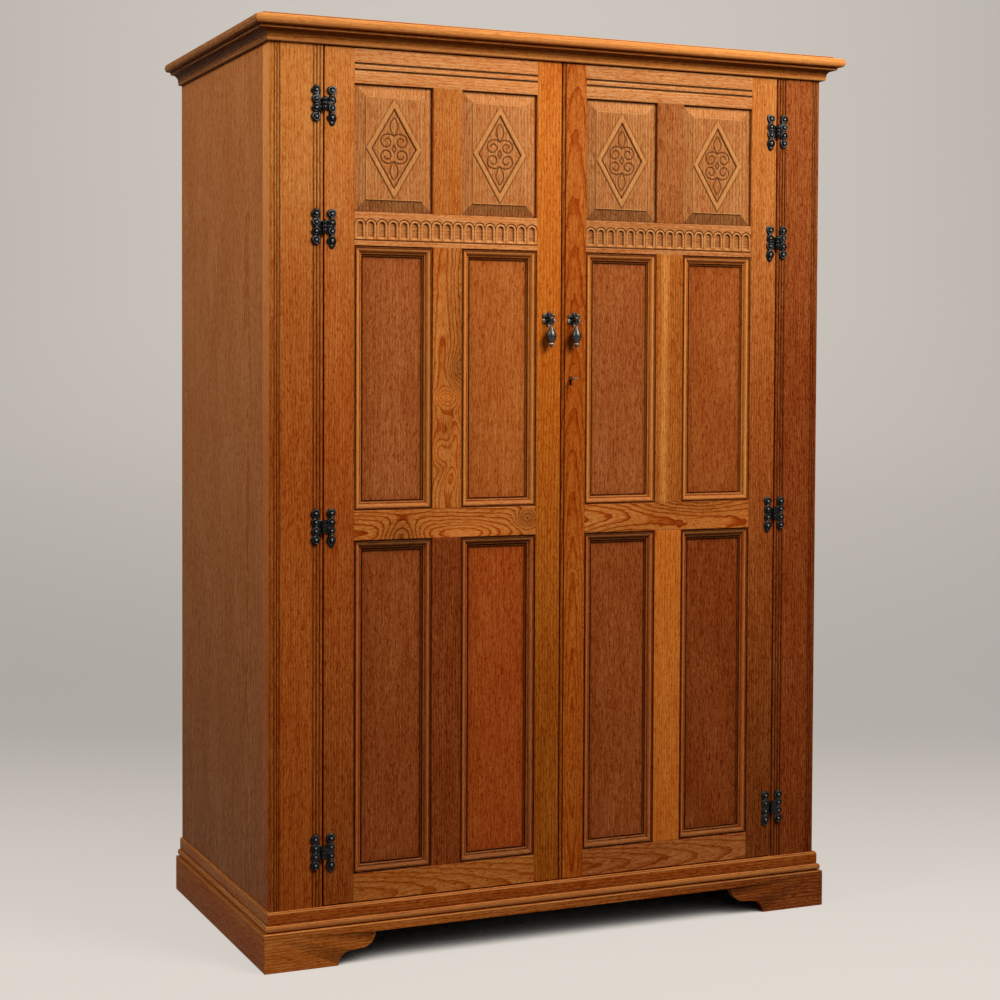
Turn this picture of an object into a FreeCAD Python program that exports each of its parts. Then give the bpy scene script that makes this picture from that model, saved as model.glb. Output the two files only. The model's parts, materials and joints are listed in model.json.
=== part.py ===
"""Two-door panelled oak wardrobe with carved door heads, in millimetres.

The front faces -Y, +X is to the right of someone facing the doors, +Z is up.
The origin is on the floor, in the middle of the overall box.
"""
import FreeCAD, Part
import math
import os

V = FreeCAD.Vector

# Plinth with bracket feet
PLINTH_H = 75.0
PLINTH_T = 20.0
PLINTH_OUT = 14.0
FOOT_W = 150.0
FOOT_COVE_R = 27.0
FOOT_STEP = 20.0
FOOT_OVOLO_R = 31.0
BLOCK_SIDE = 40.0
BLOCK_H = 58.0

# Base moulding
BASE_H = 40.0
BASE_TOP_OUT = 5.0
BASE_TOP_R = 2.5
BASE_BEAD_H = 13.0
BASE_BEAD_OUT = 12.0
BASE_QUIRK = 2.0

# Cornice, measured out from the body and down from its top
CORNICE_H = 51.0
CORNICE_OUT = 38.0
CORNICE_TOP_FLAT = 17.5
CORNICE_NOSE_DROP = 7.0
CORNICE_NOSE_H = 16.0
CORNICE_NOSE_ROUND = 3.5
CORNICE_FILLET_OUT = 25.0
CORNICE_FILLET_H = 6.5
CORNICE_COVE_H = 11.0
CORNICE_BEAD_OUT = 8.0
CORNICE_BEAD_SWELL = 0.8
CORNICE_FOOT_OUT = 5.0

# Corner posts and carcase boards
BODY_D = 640.0
POST_W = 107.0
POST_T = 46.0
REED_W = 6.5
REED_COUNT = 3
REED_RISE = 2.2
SIDE_T = 18.0
SIDE_TONGUE_T = 8.0
SIDE_TONGUE_L = 10.0
BACK_T = 6.0
BACK_REBATE_W = 9.0
TOP_T = 16.0
BOARD_T = 18.0
HOUSING_D = 6.0
HEAD_RAIL_H = 22.0
HEAD_RAIL_D = 60.0
STOP_GAP = 1.5
STOP_LAP = 15.0
STOP_T = 18.0
CARCASE_TENON_L = 20.0
CARCASE_TENON_T = 10.0

# Inside fittings
SHELF_UNDER_TOP = 282.0
SHELF_SET_BACK = 14.0
CLEAT_H = 30.0
CLEAT_T = 20.0
CLEAT_INSET = 16.0
RAIL_R = 12.5
RAIL_DROP = 72.0
SOCKET_FLANGE_R = 22.0
SOCKET_FLANGE_T = 3.0
SOCKET_WALL = 2.5
SOCKET_L = 15.0

# Door layout from hinge side to meeting side, and from the floor up; the panels take the width that is left
DOOR_W = 505.5
HINGE_GAP = 3.0
MEETING_GAP = 3.0
DOOR_BOTTOM_GAP = 2.0
DOOR_TOP_GAP = 2.0
DOOR_T = 22.0
HINGE_STILE_W = 61.0
MUNTIN_W = 62.0
MEETING_STILE_W = 53.5
BOTTOM_RAIL_H = 55.0
LOWER_PANEL_H = 653.0
MIDDLE_RAIL_H = 58.0
MID_PANEL_H = 515.0
CARVED_RAIL_H = 65.0
CARVED_PANEL_H = 247.0
TOP_RAIL_H = 67.0

# Door joints and panels
TENON_L = 25.0
TENON_T = 8.0
TENON_SHOULDER = 11.0
MUNTIN_TENON_L = 15.0
MUNTIN_SHOULDER = 12.0
PANEL_SET = 11.0
TONGUE_T = 6.0
GROOVE_D = 8.0
TONGUE_GAP = 1.0
JOINT_CLEAR = 0.1
BEVEL_W = 24.0
FIELD_SET = 2.0
FIELD_STEP = 1.0
LOZENGE_W = 115.0
LOZENGE_H = 193.0
LOZENGE_BAND = 18.0
LOZENGE_SINK = 1.5

# Arcade band and rail grooves
NICHE_COUNT = 17
NICHE_W = 13.0
NICHE_H = 33.0
NICHE_DEPTH = 3.0
NICHE_SILL = 13.0
BAND_LINE_DROP = 3.0
RAIL_BEAD_W = 12.0
RAIL_BEAD_DROP = 29.0
LINE_R = 1.4
MEETING_BEAD_W = 7.0

# Mitred moulding round the plain panels
MOULD_W = 20.0
MOULD_PROUD = 2.5
MOULD_BEAD_W = 4.4
MOULD_QUIRK = 2.2
MOULD_FOOT_H = 4.5
MOULD_INNER_W = 4.0
MOULD_INNER_H = 3.6
MOULD_INNER_RISE = 2.0

# Surface hinges
HINGE_TOP_DROP = 44.0
HINGE_FOOT_RISE = 50.0
LEAF_T = 2.5
LOBE_R = 9.5
LOBE_PITCH = 17.5
LOBE_COUNT = 4
LEAF_OFFSET = 16.5
KNUCKLE_R = 4.8
KNUCKLE_H = 23.0
KNUCKLE_CLEAR = 0.4
BARREL_GAP = 0.3
NECK_REACH = 2.0
PIN_R = 2.0
PIN_CLEAR = 0.05
PIN_HEAD_R = 3.6
PIN_HEAD_H = 2.5

# Drop pulls
PULL_DROP = 136.0
PLATE_R = 11.5
PLATE_LOBE_R = 4.5
PLATE_LOBES = 8
PLATE_T = 2.5
BOSS_R = 4.5
BOSS_L = 6.5
EAR_T = 2.0
EAR_R = 3.4
EYE_W = 4.0
EYE_R = 3.4
EYE_GAP = 0.3
PULL_PIN_R = 1.5
DROP_NECK_R = 1.8
DROP_NECK_L = 10.0
DROP_WAIST_R = 4.4
DROP_BULB_R = 10.0
DROP_BULB_L = 44.5
DROP_TIP_R = 3.4
DROP_TIP_NECK_R = 2.6

# Lock, key and keeper
KEY_DROP = 121.0
KEY_INSET = 21.0
KEYHOLE_R = 4.0
KEYHOLE_SLOT_W = 4.5
KEYHOLE_SLOT_L = 15.0
LOCK_INSET = 4.0
LOCK_W = 42.0
LOCK_H = 64.0
LOCK_T = 14.0
LOCK_WALL = 1.5
BOLT_H = 8.0
BOLT_T = 8.0
BOLT_L = 34.0
BOLT_RISE = 12.0
BOLT_THROW = 16.0
BOLT_CLEAR = 0.3
KEY_SHANK_R = 2.4
KEY_BOW_R = 6.0
KEY_BOW_HOLE_R = 3.6
KEY_BOW_T = 3.0
KEY_REACH = 27.0
KEY_BIT_R = 9.5
KEY_BIT_L = 7.0
KEY_BIT_T = 2.4
KEY_END_GAP = 0.3
KEEPER_W = 16.0
KEEPER_WALL = 2.5
KEEPER_ROOM = 1.0

# Bolts at the head and foot of the left door
DOOR_BOLT_R = 4.0
DOOR_BOLT_L = 122.0
DOOR_BOLT_SET = 2.0
DOOR_BOLT_CLEAR = 0.08
DOOR_BOLT_THROW = 14.0
BOLT_SOCKET_ROOM = 0.6
CASING_W = 24.0
CASING_T = 2.0
CASING_L = 108.0
STAPLE_L = 12.0
STAPLE_W = 15.0
STAPLE_STAND = 6.5
KNOB_R = 4.0
KNOB_L = 9.0

# How far a cutting shape runs past the face it cuts
CUT_OVER = 1.0

# Places worked out from the sizes above
PANEL_W = (DOOR_W - HINGE_STILE_W - MUNTIN_W - MEETING_STILE_W) / 2
X_MEET_EDGE = MEETING_GAP / 2
X_MEET_STILE = X_MEET_EDGE + MEETING_STILE_W
X_MUNTIN_IN = X_MEET_STILE + PANEL_W
X_MUNTIN_OUT = X_MUNTIN_IN + MUNTIN_W
X_HINGE_STILE = X_MUNTIN_OUT + PANEL_W
X_HINGE_EDGE = X_HINGE_STILE + HINGE_STILE_W
X_POST = X_HINGE_EDGE + HINGE_GAP
X_BODY = X_POST + POST_W
X_SIDE_IN = X_BODY - SIDE_T
X_AXIS = X_POST - HINGE_GAP / 2
X_PULL = (X_MEET_EDGE + X_MEET_STILE) / 2
X_KEY = X_MEET_EDGE + KEY_INSET

Y_FACE = CORNICE_OUT - (BODY_D + CORNICE_OUT) / 2
Y_BACK = Y_FACE + BODY_D
Y_POST_BACK = Y_FACE + POST_T
Y_DOOR_BACK = Y_FACE + DOOR_T
Y_STOP = Y_DOOR_BACK + STOP_GAP
Y_PANEL = Y_FACE + PANEL_SET
Y_TONGUE_BACK = Y_PANEL + TONGUE_T
Y_TENON = Y_PANEL + TONGUE_T / 2 - TENON_T / 2
Y_AXIS = Y_FACE - KNUCKLE_R - KNUCKLE_CLEAR
Y_PULL_AXIS = Y_FACE - PLATE_T - BOSS_L - EYE_R - EYE_GAP
Y_BOLT_AXIS = Y_DOOR_BACK + CASING_T + STAPLE_STAND

Z_BASE_TOP = PLINTH_H + BASE_H
Z_BOARD_TOP = Z_BASE_TOP + STOP_LAP
Z_DOOR = Z_BASE_TOP + DOOR_BOTTOM_GAP
Z_LOWER = Z_DOOR + BOTTOM_RAIL_H
Z_MIDDLE = Z_LOWER + LOWER_PANEL_H
Z_MID = Z_MIDDLE + MIDDLE_RAIL_H
Z_CARVED = Z_MID + MID_PANEL_H
Z_HEAD = Z_CARVED + CARVED_RAIL_H
Z_TOP_RAIL = Z_HEAD + CARVED_PANEL_H
Z_DOOR_TOP = Z_TOP_RAIL + TOP_RAIL_H
Z_CORNICE = Z_DOOR_TOP + DOOR_TOP_GAP
Z_TOP = Z_CORNICE + CORNICE_H
Z_CARCASE_TOP = Z_CORNICE + HEAD_RAIL_H
Z_STOP = Z_CORNICE - STOP_LAP
Z_SHELF = Z_CARCASE_TOP - SHELF_UNDER_TOP
Z_RAIL = Z_SHELF - BOARD_T - RAIL_DROP
Z_PULL = Z_CARVED - PULL_DROP
Z_KEY = Z_PULL - KEY_DROP

HINGE_HEIGHTS = (
    Z_LOWER + HINGE_FOOT_RISE,
    (Z_MIDDLE + Z_MID) / 2,
    (Z_CARVED + Z_HEAD) / 2,
    Z_TOP_RAIL - HINGE_TOP_DROP,
)
DOOR_RAILS = {
    "bottom_rail": (Z_DOOR, Z_LOWER),
    "middle_rail": (Z_MIDDLE, Z_MID),
    "carved_rail": (Z_CARVED, Z_HEAD),
    "top_rail": (Z_TOP_RAIL, Z_DOOR_TOP),
}
PLAIN_ROWS = ((Z_LOWER, Z_MIDDLE), (Z_MID, Z_CARVED))
CARVED_ROW = (Z_HEAD, Z_TOP_RAIL)
COLUMNS = ((X_MEET_STILE, X_MUNTIN_IN), (X_MUNTIN_OUT, X_HINGE_STILE))


def box(x, y, z):
    """Block between the low and high ends given for each axis."""
    return Part.makeBox(x[1] - x[0], y[1] - y[0], z[1] - z[0], V(x[0], y[0], z[0]))


def rod(radius, start, end):
    """Cylinder between two points."""
    return Part.makeCylinder(radius, (end - start).Length, start, end - start)


def outline(points, place):
    """Flat face round points (u, v); a point (u, v, mu, mv) is reached by an arc through (mu, mv)."""
    edges = []
    for before, after in zip(points, points[1:] + points[:1]):
        start = place(before[0], before[1])
        end = place(after[0], after[1])
        if len(after) == 4:
            edges.append(Part.Arc(start, place(after[2], after[3]), end).toShape())
        else:
            edges.append(Part.LineSegment(start, end).toShape())
    return Part.Face(Part.Wire(edges))


def fuse(shapes):
    """One solid from several that overlap or meet."""
    whole = shapes[0]
    for shape in shapes[1:]:
        whole = whole.fuse(shape)
    return whole.removeSplitter()


def cut(shape, tools):
    """Shape with every tool taken out of it."""
    for tool in tools:
        shape = shape.cut(tool)
    return shape


def mirrored(shape):
    """The same shape on the other side of the middle."""
    return shape.mirror(V(0, 0, 0), V(1, 0, 0))


def moved(shape, x=0, y=0, z=0):
    """Copy of a shape, shifted."""
    copy = shape.copy()
    copy.translate(V(x, y, z))
    return copy


def save(name, *shapes):
    """Write one node, as a group where it holds several pieces."""
    solids = [solid for shape in shapes for solid in shape.Solids]
    whole = solids[0] if len(solids) == 1 else Part.makeCompound(solids)
    whole.exportStep("parts/" + name + ".step")


def front_mitre(low, high, z):
    """Plan of a strip along the front between two distances out from the body, mitred at both ends."""
    points = [
        (-X_BODY - high, Y_FACE - high),
        (X_BODY + high, Y_FACE - high),
        (X_BODY + low, Y_FACE - low),
        (-X_BODY - low, Y_FACE - low),
    ]
    return outline(points, lambda x, y: V(x, y, z[0])).extrude(V(0, 0, z[1] - z[0]))


def side_mitre(low, high, z):
    """Plan of a strip along the right side, mitred at the front and square at the back."""
    points = [
        (X_BODY + low, Y_FACE - low),
        (X_BODY + high, Y_FACE - high),
        (X_BODY + high, Y_BACK),
        (X_BODY + low, Y_BACK),
    ]
    return outline(points, lambda x, y: V(x, y, z[0])).extrude(V(0, 0, z[1] - z[0]))


def wrapped_moulding(section, reach, z):
    """Front and right strips of a moulding that wraps the body; section points are (out, height)."""
    x_end = X_BODY + reach
    run = outline(section, lambda u, v: V(-x_end, Y_FACE - u, v)).extrude(V(2 * x_end, 0, 0))
    front = run.common(front_mitre(0, reach, z))
    y_start = Y_FACE - reach
    run = outline(section, lambda u, v: V(X_BODY + u, y_start, v)).extrude(V(0, Y_BACK - y_start, 0))
    side = run.common(side_mitre(0, reach, z))
    return front, side


def cornice():
    """Cornice strips: top flat, rounded nose, fillet, cove and a swelling foot."""
    nose_in = CORNICE_OUT - CORNICE_NOSE_ROUND
    z_nose = Z_TOP - CORNICE_NOSE_DROP
    z_under = z_nose - CORNICE_NOSE_H
    z_cove = z_under - CORNICE_FILLET_H
    z_bead = z_cove - CORNICE_COVE_H
    cove_mid = CORNICE_BEAD_OUT + (CORNICE_FILLET_OUT - CORNICE_BEAD_OUT) * (1 - math.sin(math.pi / 4))
    cove_mid_z = z_cove - CORNICE_COVE_H * (1 - math.sin(math.pi / 4))
    bead_mid = CORNICE_BEAD_OUT + CORNICE_BEAD_SWELL
    section = [
        (0, Z_CORNICE),
        (CORNICE_FOOT_OUT, Z_CORNICE),
        (CORNICE_BEAD_OUT, z_bead, bead_mid, (Z_CORNICE + z_bead) / 2),
        (CORNICE_FILLET_OUT, z_cove, cove_mid, cove_mid_z),
        (CORNICE_FILLET_OUT, z_under),
        (nose_in, z_under),
        (nose_in, z_nose, CORNICE_OUT, (z_nose + z_under) / 2),
        (CORNICE_TOP_FLAT, Z_TOP),
        (0, Z_TOP),
    ]
    return wrapped_moulding(section, CORNICE_OUT + CUT_OVER, (Z_CORNICE - CUT_OVER, Z_TOP + CUT_OVER))


def base_moulding():
    """Base strips: a flat band with a rounded top edge above a bead."""
    z_bead = PLINTH_H + BASE_BEAD_H
    corner = BASE_TOP_R * (1 - math.sin(math.pi / 4))
    quirk_out = BASE_TOP_OUT - BASE_QUIRK
    section = [
        (0, PLINTH_H),
        (BASE_BEAD_OUT - BASE_QUIRK, PLINTH_H),
        (BASE_TOP_OUT, z_bead, BASE_BEAD_OUT, (PLINTH_H + z_bead) / 2),
        (quirk_out, z_bead),
        (quirk_out, z_bead + BASE_QUIRK),
        (BASE_TOP_OUT, z_bead + BASE_QUIRK),
        (BASE_TOP_OUT, Z_BASE_TOP - BASE_TOP_R),
        (BASE_TOP_OUT - BASE_TOP_R, Z_BASE_TOP, BASE_TOP_OUT - corner, Z_BASE_TOP - corner),
        (0, Z_BASE_TOP),
    ]
    return wrapped_moulding(section, BASE_BEAD_OUT + CUT_OVER, (PLINTH_H - CUT_OVER, Z_BASE_TOP + CUT_OVER))


def foot_cutout():
    """Opening between the bracket feet: a cove at the floor, a step and an ovolo under the apron."""
    x_floor = X_BODY + PLINTH_OUT - FOOT_W
    x_cove = x_floor - FOOT_COVE_R
    x_ovolo = x_cove - FOOT_STEP
    x_top = x_ovolo - FOOT_OVOLO_R
    z_top = FOOT_COVE_R + FOOT_OVOLO_R
    half = math.sin(math.pi / 4)
    cove = (x_cove + FOOT_COVE_R * half, FOOT_COVE_R * half)
    ovolo = (x_ovolo - FOOT_OVOLO_R * half, z_top - FOOT_OVOLO_R * half)
    points = [
        (-x_floor, -CUT_OVER),
        (x_floor, -CUT_OVER),
        (x_floor, 0),
        (x_cove, FOOT_COVE_R, cove[0], cove[1]),
        (x_ovolo, FOOT_COVE_R),
        (x_top, z_top, ovolo[0], ovolo[1]),
        (-x_top, z_top),
        (-x_ovolo, FOOT_COVE_R, -ovolo[0], ovolo[1]),
        (-x_cove, FOOT_COVE_R),
        (-x_floor, 0, -cove[0], cove[1]),
    ]
    y_start = Y_FACE - PLINTH_OUT - CUT_OVER
    return outline(points, lambda x, z: V(x, y_start, z)).extrude(V(0, PLINTH_T + 2 * CUT_OVER, 0))


def plinth():
    """Front, right and back plinth boards and the glue blocks in their corners."""
    inner = PLINTH_OUT - PLINTH_T
    height = (0, PLINTH_H)
    front = front_mitre(inner, PLINTH_OUT, height).cut(foot_cutout())
    side = side_mitre(inner, PLINTH_OUT, height)
    x_in = X_BODY + inner
    back = box((-x_in, x_in), (Y_BACK - PLINTH_T, Y_BACK), height)
    blocks = []
    for y_low in (Y_FACE - inner, Y_BACK - PLINTH_T - BLOCK_SIDE):
        block = box((x_in - BLOCK_SIDE, x_in), (y_low, y_low + BLOCK_SIDE), (PLINTH_H - BLOCK_H, PLINTH_H))
        blocks += [block, mirrored(block)]
    return front, side, back, blocks


def carcase_tenon(y_low, z, grow=0.0):
    """Tenon between the posts, or with grow the mortise that takes it."""
    reach = X_POST + CARCASE_TENON_L + grow
    return box(
        (-reach, reach),
        (y_low - grow, y_low + CARCASE_TENON_T + grow),
        (z[0] - grow, z[1] + grow),
    )


HEAD_TENON = ((Y_FACE + DOOR_T / 2), (Z_CORNICE + TENON_SHOULDER / 2, Z_CARCASE_TOP - TENON_SHOULDER / 2))
FOOT_TENON = ((Y_FACE + DOOR_T / 2), (PLINTH_H + TENON_SHOULDER / 2, Z_BASE_TOP - TENON_SHOULDER / 2))


def corner_post():
    """Right post: reeds on both front edges, a groove for the side panel and mortises for the rails."""
    points = [(X_POST, Y_POST_BACK), (X_POST, Y_FACE + REED_RISE)]
    for index in range(REED_COUNT):
        x_low = X_POST + index * REED_W
        points.append((x_low + REED_W, Y_FACE + REED_RISE, x_low + REED_W / 2, Y_FACE))
    x_outer = X_BODY - REED_COUNT * REED_W
    points += [(points[-1][0], Y_FACE), (x_outer, Y_FACE), (x_outer, Y_FACE + REED_RISE)]
    for index in range(REED_COUNT):
        x_low = x_outer + index * REED_W
        points.append((x_low + REED_W, Y_FACE + REED_RISE, x_low + REED_W / 2, Y_FACE))
    points.append((X_BODY, Y_POST_BACK))
    post = outline(points, lambda x, y: V(x, y, PLINTH_H)).extrude(V(0, 0, Z_CARCASE_TOP - PLINTH_H))
    x_tongue = X_BODY - (SIDE_T + SIDE_TONGUE_T) / 2
    groove = box(
        (x_tongue - JOINT_CLEAR, x_tongue + SIDE_TONGUE_T + JOINT_CLEAR),
        (Y_POST_BACK - SIDE_TONGUE_L - JOINT_CLEAR, Y_POST_BACK + CUT_OVER),
        (PLINTH_H - CUT_OVER, Z_CARCASE_TOP + CUT_OVER),
    )
    mortises = [carcase_tenon(y_low, z, JOINT_CLEAR) for y_low, z in (HEAD_TENON, FOOT_TENON)]
    return cut(post, [groove] + mortises)


def side_panel():
    """Right side: tongue into the post, rebate for the back and a housing for the bottom board."""
    height = (PLINTH_H, Z_CARCASE_TOP)
    panel = box((X_SIDE_IN, X_BODY), (Y_POST_BACK, Y_BACK), height)
    x_tongue = X_BODY - (SIDE_T + SIDE_TONGUE_T) / 2
    tongue = box((x_tongue, x_tongue + SIDE_TONGUE_T), (Y_POST_BACK - SIDE_TONGUE_L, Y_POST_BACK), height)
    rebate = box(
        (X_SIDE_IN - CUT_OVER, X_SIDE_IN + BACK_REBATE_W),
        (Y_BACK - BACK_T, Y_BACK + CUT_OVER),
        (PLINTH_H - CUT_OVER, Z_CARCASE_TOP + CUT_OVER),
    )
    housing = box(
        (X_SIDE_IN - CUT_OVER, X_SIDE_IN + HOUSING_D + JOINT_CLEAR),
        (Y_POST_BACK - CUT_OVER, Y_BACK),
        (Z_BOARD_TOP - BOARD_T, Z_BOARD_TOP),
    )
    return cut(fuse([panel, tongue]), [rebate, housing])


def head_rail():
    """Rail over the doors with a stop behind their top edge and a socket for the head bolt."""
    rail = box((-X_POST, X_POST), (Y_FACE, Y_FACE + HEAD_RAIL_D), (Z_CORNICE, Z_CARCASE_TOP))
    stop = box((-X_POST, X_POST), (Y_STOP, Y_STOP + STOP_T), (Z_STOP, Z_CORNICE))
    whole = fuse([rail, stop, carcase_tenon(*HEAD_TENON)])
    return whole.cut(bolt_socket(Z_STOP, DOOR_BOLT_THROW + DOOR_BOLT_SET, 1))


def bottom_rail():
    """Rail under the doors, behind the base moulding."""
    rail = box((-X_POST, X_POST), (Y_FACE, Y_STOP), (PLINTH_H, Z_BASE_TOP))
    return fuse([rail, carcase_tenon(*FOOT_TENON)])


def bottom_board():
    """Floor of the wardrobe: its front edge stops the doors and takes the foot bolt."""
    height = (Z_BOARD_TOP - BOARD_T, Z_BOARD_TOP)
    x_end = X_SIDE_IN + HOUSING_D
    main = box((-x_end, x_end), (Y_POST_BACK, Y_BACK - BACK_T), height)
    lip = box((-X_POST, X_POST), (Y_STOP, Y_POST_BACK), height)
    return fuse([main, lip]).cut(bolt_socket(Z_BOARD_TOP, DOOR_BOLT_THROW + DOOR_BOLT_SET, -1))


def bolt_socket(z_face, depth, up):
    """Hole that a door bolt shoots into, from the face it enters."""
    start = V(-X_PULL, Y_BOLT_AXIS, z_face - up * CUT_OVER)
    return rod(DOOR_BOLT_R + BOLT_SOCKET_ROOM, start, V(-X_PULL, Y_BOLT_AXIS, z_face + up * depth))


def hat_shelf():
    """Shelf across the top of the hanging space."""
    y = (Y_POST_BACK + SHELF_SET_BACK, Y_BACK - BACK_T)
    return box((-X_SIDE_IN, X_SIDE_IN), y, (Z_SHELF - BOARD_T, Z_SHELF))


def shelf_cleats():
    """Battens on the two sides that carry the shelf."""
    y = (Y_POST_BACK + SHELF_SET_BACK + CLEAT_INSET, Y_BACK - BACK_T - CLEAT_INSET)
    z = (Z_SHELF - BOARD_T - CLEAT_H, Z_SHELF - BOARD_T)
    right = box((X_SIDE_IN - CLEAT_T, X_SIDE_IN), y, z)
    return [right, mirrored(right)]


def hanging_rail():
    """Round rail across the hanging space and the flanged socket at its right end."""
    y = (Y_POST_BACK + Y_BACK - BACK_T) / 2
    x_end = X_SIDE_IN - SOCKET_FLANGE_T
    rail = rod(RAIL_R, V(-x_end, y, Z_RAIL), V(x_end, y, Z_RAIL))
    flange = rod(SOCKET_FLANGE_R, V(x_end, y, Z_RAIL), V(X_SIDE_IN, y, Z_RAIL))
    x_mouth = X_SIDE_IN - SOCKET_L
    cup = rod(RAIL_R + SOCKET_WALL, V(x_mouth, y, Z_RAIL), V(x_end, y, Z_RAIL))
    bore = rod(RAIL_R + JOINT_CLEAR, V(x_mouth - CUT_OVER, y, Z_RAIL), V(x_end, y, Z_RAIL))
    return rail, fuse([flange, cup]).cut(bore)


def rail_tenon(z, grow=0.0):
    """Tenon through both ends of a door rail, or with grow the mortises that take it."""
    reach = TENON_L + grow
    return box(
        (X_MEET_STILE - reach, X_HINGE_STILE + reach),
        (Y_TENON - grow, Y_TENON + TENON_T + grow),
        (z[0] + TENON_SHOULDER - grow, z[1] - TENON_SHOULDER + grow),
    )


def muntin_tenon(z, grow=0.0):
    """Tenon at both ends of a muntin, or with grow the mortises that take it."""
    reach = MUNTIN_TENON_L + grow
    return box(
        (X_MUNTIN_IN + MUNTIN_SHOULDER - grow, X_MUNTIN_OUT - MUNTIN_SHOULDER + grow),
        (Y_TENON - grow, Y_TENON + TENON_T + grow),
        (z[0] - reach, z[1] + reach),
    )


def panel_room(column, row):
    """Space that a panel's tongue takes in the frame round it."""
    return box(
        (column[0] - GROOVE_D, column[1] + GROOVE_D),
        (Y_PANEL - JOINT_CLEAR, Y_TONGUE_BACK + JOINT_CLEAR),
        (row[0] - GROOVE_D, row[1] + GROOVE_D),
    )


PANEL_ROWS = PLAIN_ROWS + (CARVED_ROW,)
GROOVES = [panel_room(column, row) for column in COLUMNS for row in PANEL_ROWS]


def door_stiles():
    """Hinge and meeting stiles of the right door."""
    depth = (Y_FACE, Y_DOOR_BACK)
    height = (Z_DOOR, Z_DOOR_TOP)
    hinge = box((X_HINGE_STILE, X_HINGE_EDGE), depth, height)
    meeting = box((X_MEET_EDGE, X_MEET_STILE), depth, height)
    tools = GROOVES + [rail_tenon(z, JOINT_CLEAR) for z in DOOR_RAILS.values()]
    return cut(hinge, tools), cut(meeting, tools)


def door_rail(name):
    """One rail of the right door, with its tenons, grooves and mouldings."""
    z = DOOR_RAILS[name]
    rail = box((X_MEET_STILE, X_HINGE_STILE), (Y_FACE, Y_DOOR_BACK), z)
    rail = fuse([rail, rail_tenon(z)])
    rail = cut(rail, GROOVES + [muntin_tenon(row, JOINT_CLEAR) for row in PANEL_ROWS])
    if name == "top_rail":
        z_bead = z[1] - RAIL_BEAD_DROP
        rail = cut(rail, [front_line(z_bead), front_line(z_bead - RAIL_BEAD_W)])
    if name == "carved_rail":
        rail = cut(rail, arcade(z[0] + NICHE_SILL) + [front_line(z[0] + NICHE_SILL - BAND_LINE_DROP)])
    return rail


def front_line(z):
    """Half-round line worked along the front of a door rail."""
    return rod(LINE_R, V(X_MEET_STILE, Y_FACE, z), V(X_HINGE_STILE, Y_FACE, z))


def arcade(z_sill):
    """Row of round-headed niches that fills the rail between the stiles."""
    pitch = (X_HINGE_STILE - X_MEET_STILE) / NICHE_COUNT
    radius = NICHE_W / 2
    z_spring = z_sill + NICHE_H - radius
    niches = []
    for index in range(NICHE_COUNT):
        x = X_MEET_STILE + pitch * (index + 0.5)
        points = [
            (x - radius, z_sill),
            (x + radius, z_sill),
            (x + radius, z_spring),
            (x - radius, z_spring, x, z_spring + radius),
        ]
        niche = outline(points, lambda u, v: V(u, Y_FACE - CUT_OVER, v))
        niches.append(niche.extrude(V(0, NICHE_DEPTH + CUT_OVER, 0)))
    return niches


def door_muntins():
    """Upright between each pair of panels of the right door."""
    muntins = []
    for row in PANEL_ROWS:
        muntin = box((X_MUNTIN_IN, X_MUNTIN_OUT), (Y_FACE, Y_DOOR_BACK), row)
        muntins.append(fuse([cut(muntin, GROOVES), muntin_tenon(row)]))
    return muntins


def panel_tongue(column, row):
    """Flat sheet that stands in the grooves."""
    reach = GROOVE_D - TONGUE_GAP
    return box(
        (column[0] - reach, column[1] + reach),
        (Y_PANEL, Y_TONGUE_BACK),
        (row[0] - reach, row[1] + reach),
    )


def rectangle(column, row, inset, y):
    """Upright rectangular wire inset from an opening."""
    points = [
        V(column[0] + inset, y, row[0] + inset),
        V(column[1] - inset, y, row[0] + inset),
        V(column[1] - inset, y, row[1] - inset),
        V(column[0] + inset, y, row[1] - inset),
    ]
    return Part.makePolygon(points + points[:1])


def carved_panel(column, row):
    """Panel with a bevelled edge, a raised field and a lozenge sunk in the field."""
    y_field = Y_FACE + FIELD_SET
    bevel_ends = [
        rectangle(column, row, JOINT_CLEAR, Y_PANEL),
        rectangle(column, row, BEVEL_W, y_field + FIELD_STEP),
    ]
    bevel = Part.makeLoft(bevel_ends, True, True)
    field = Part.Face(rectangle(column, row, BEVEL_W, y_field)).extrude(V(0, FIELD_STEP, 0))
    x_mid = (column[0] + column[1]) / 2
    z_mid = (row[0] + row[1]) / 2
    half_h = LOZENGE_H / 2 - LOZENGE_BAND
    half_w = LOZENGE_W / 2 * half_h / (LOZENGE_H / 2)
    points = [
        (x_mid, z_mid - half_h),
        (x_mid + half_w, z_mid),
        (x_mid, z_mid + half_h),
        (x_mid - half_w, z_mid),
    ]
    sunk = outline(points, lambda x, z: V(x, y_field - CUT_OVER, z))
    return fuse([panel_tongue(column, row), bevel, field]).cut(sunk.extrude(V(0, LOZENGE_SINK + CUT_OVER, 0)))


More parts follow.
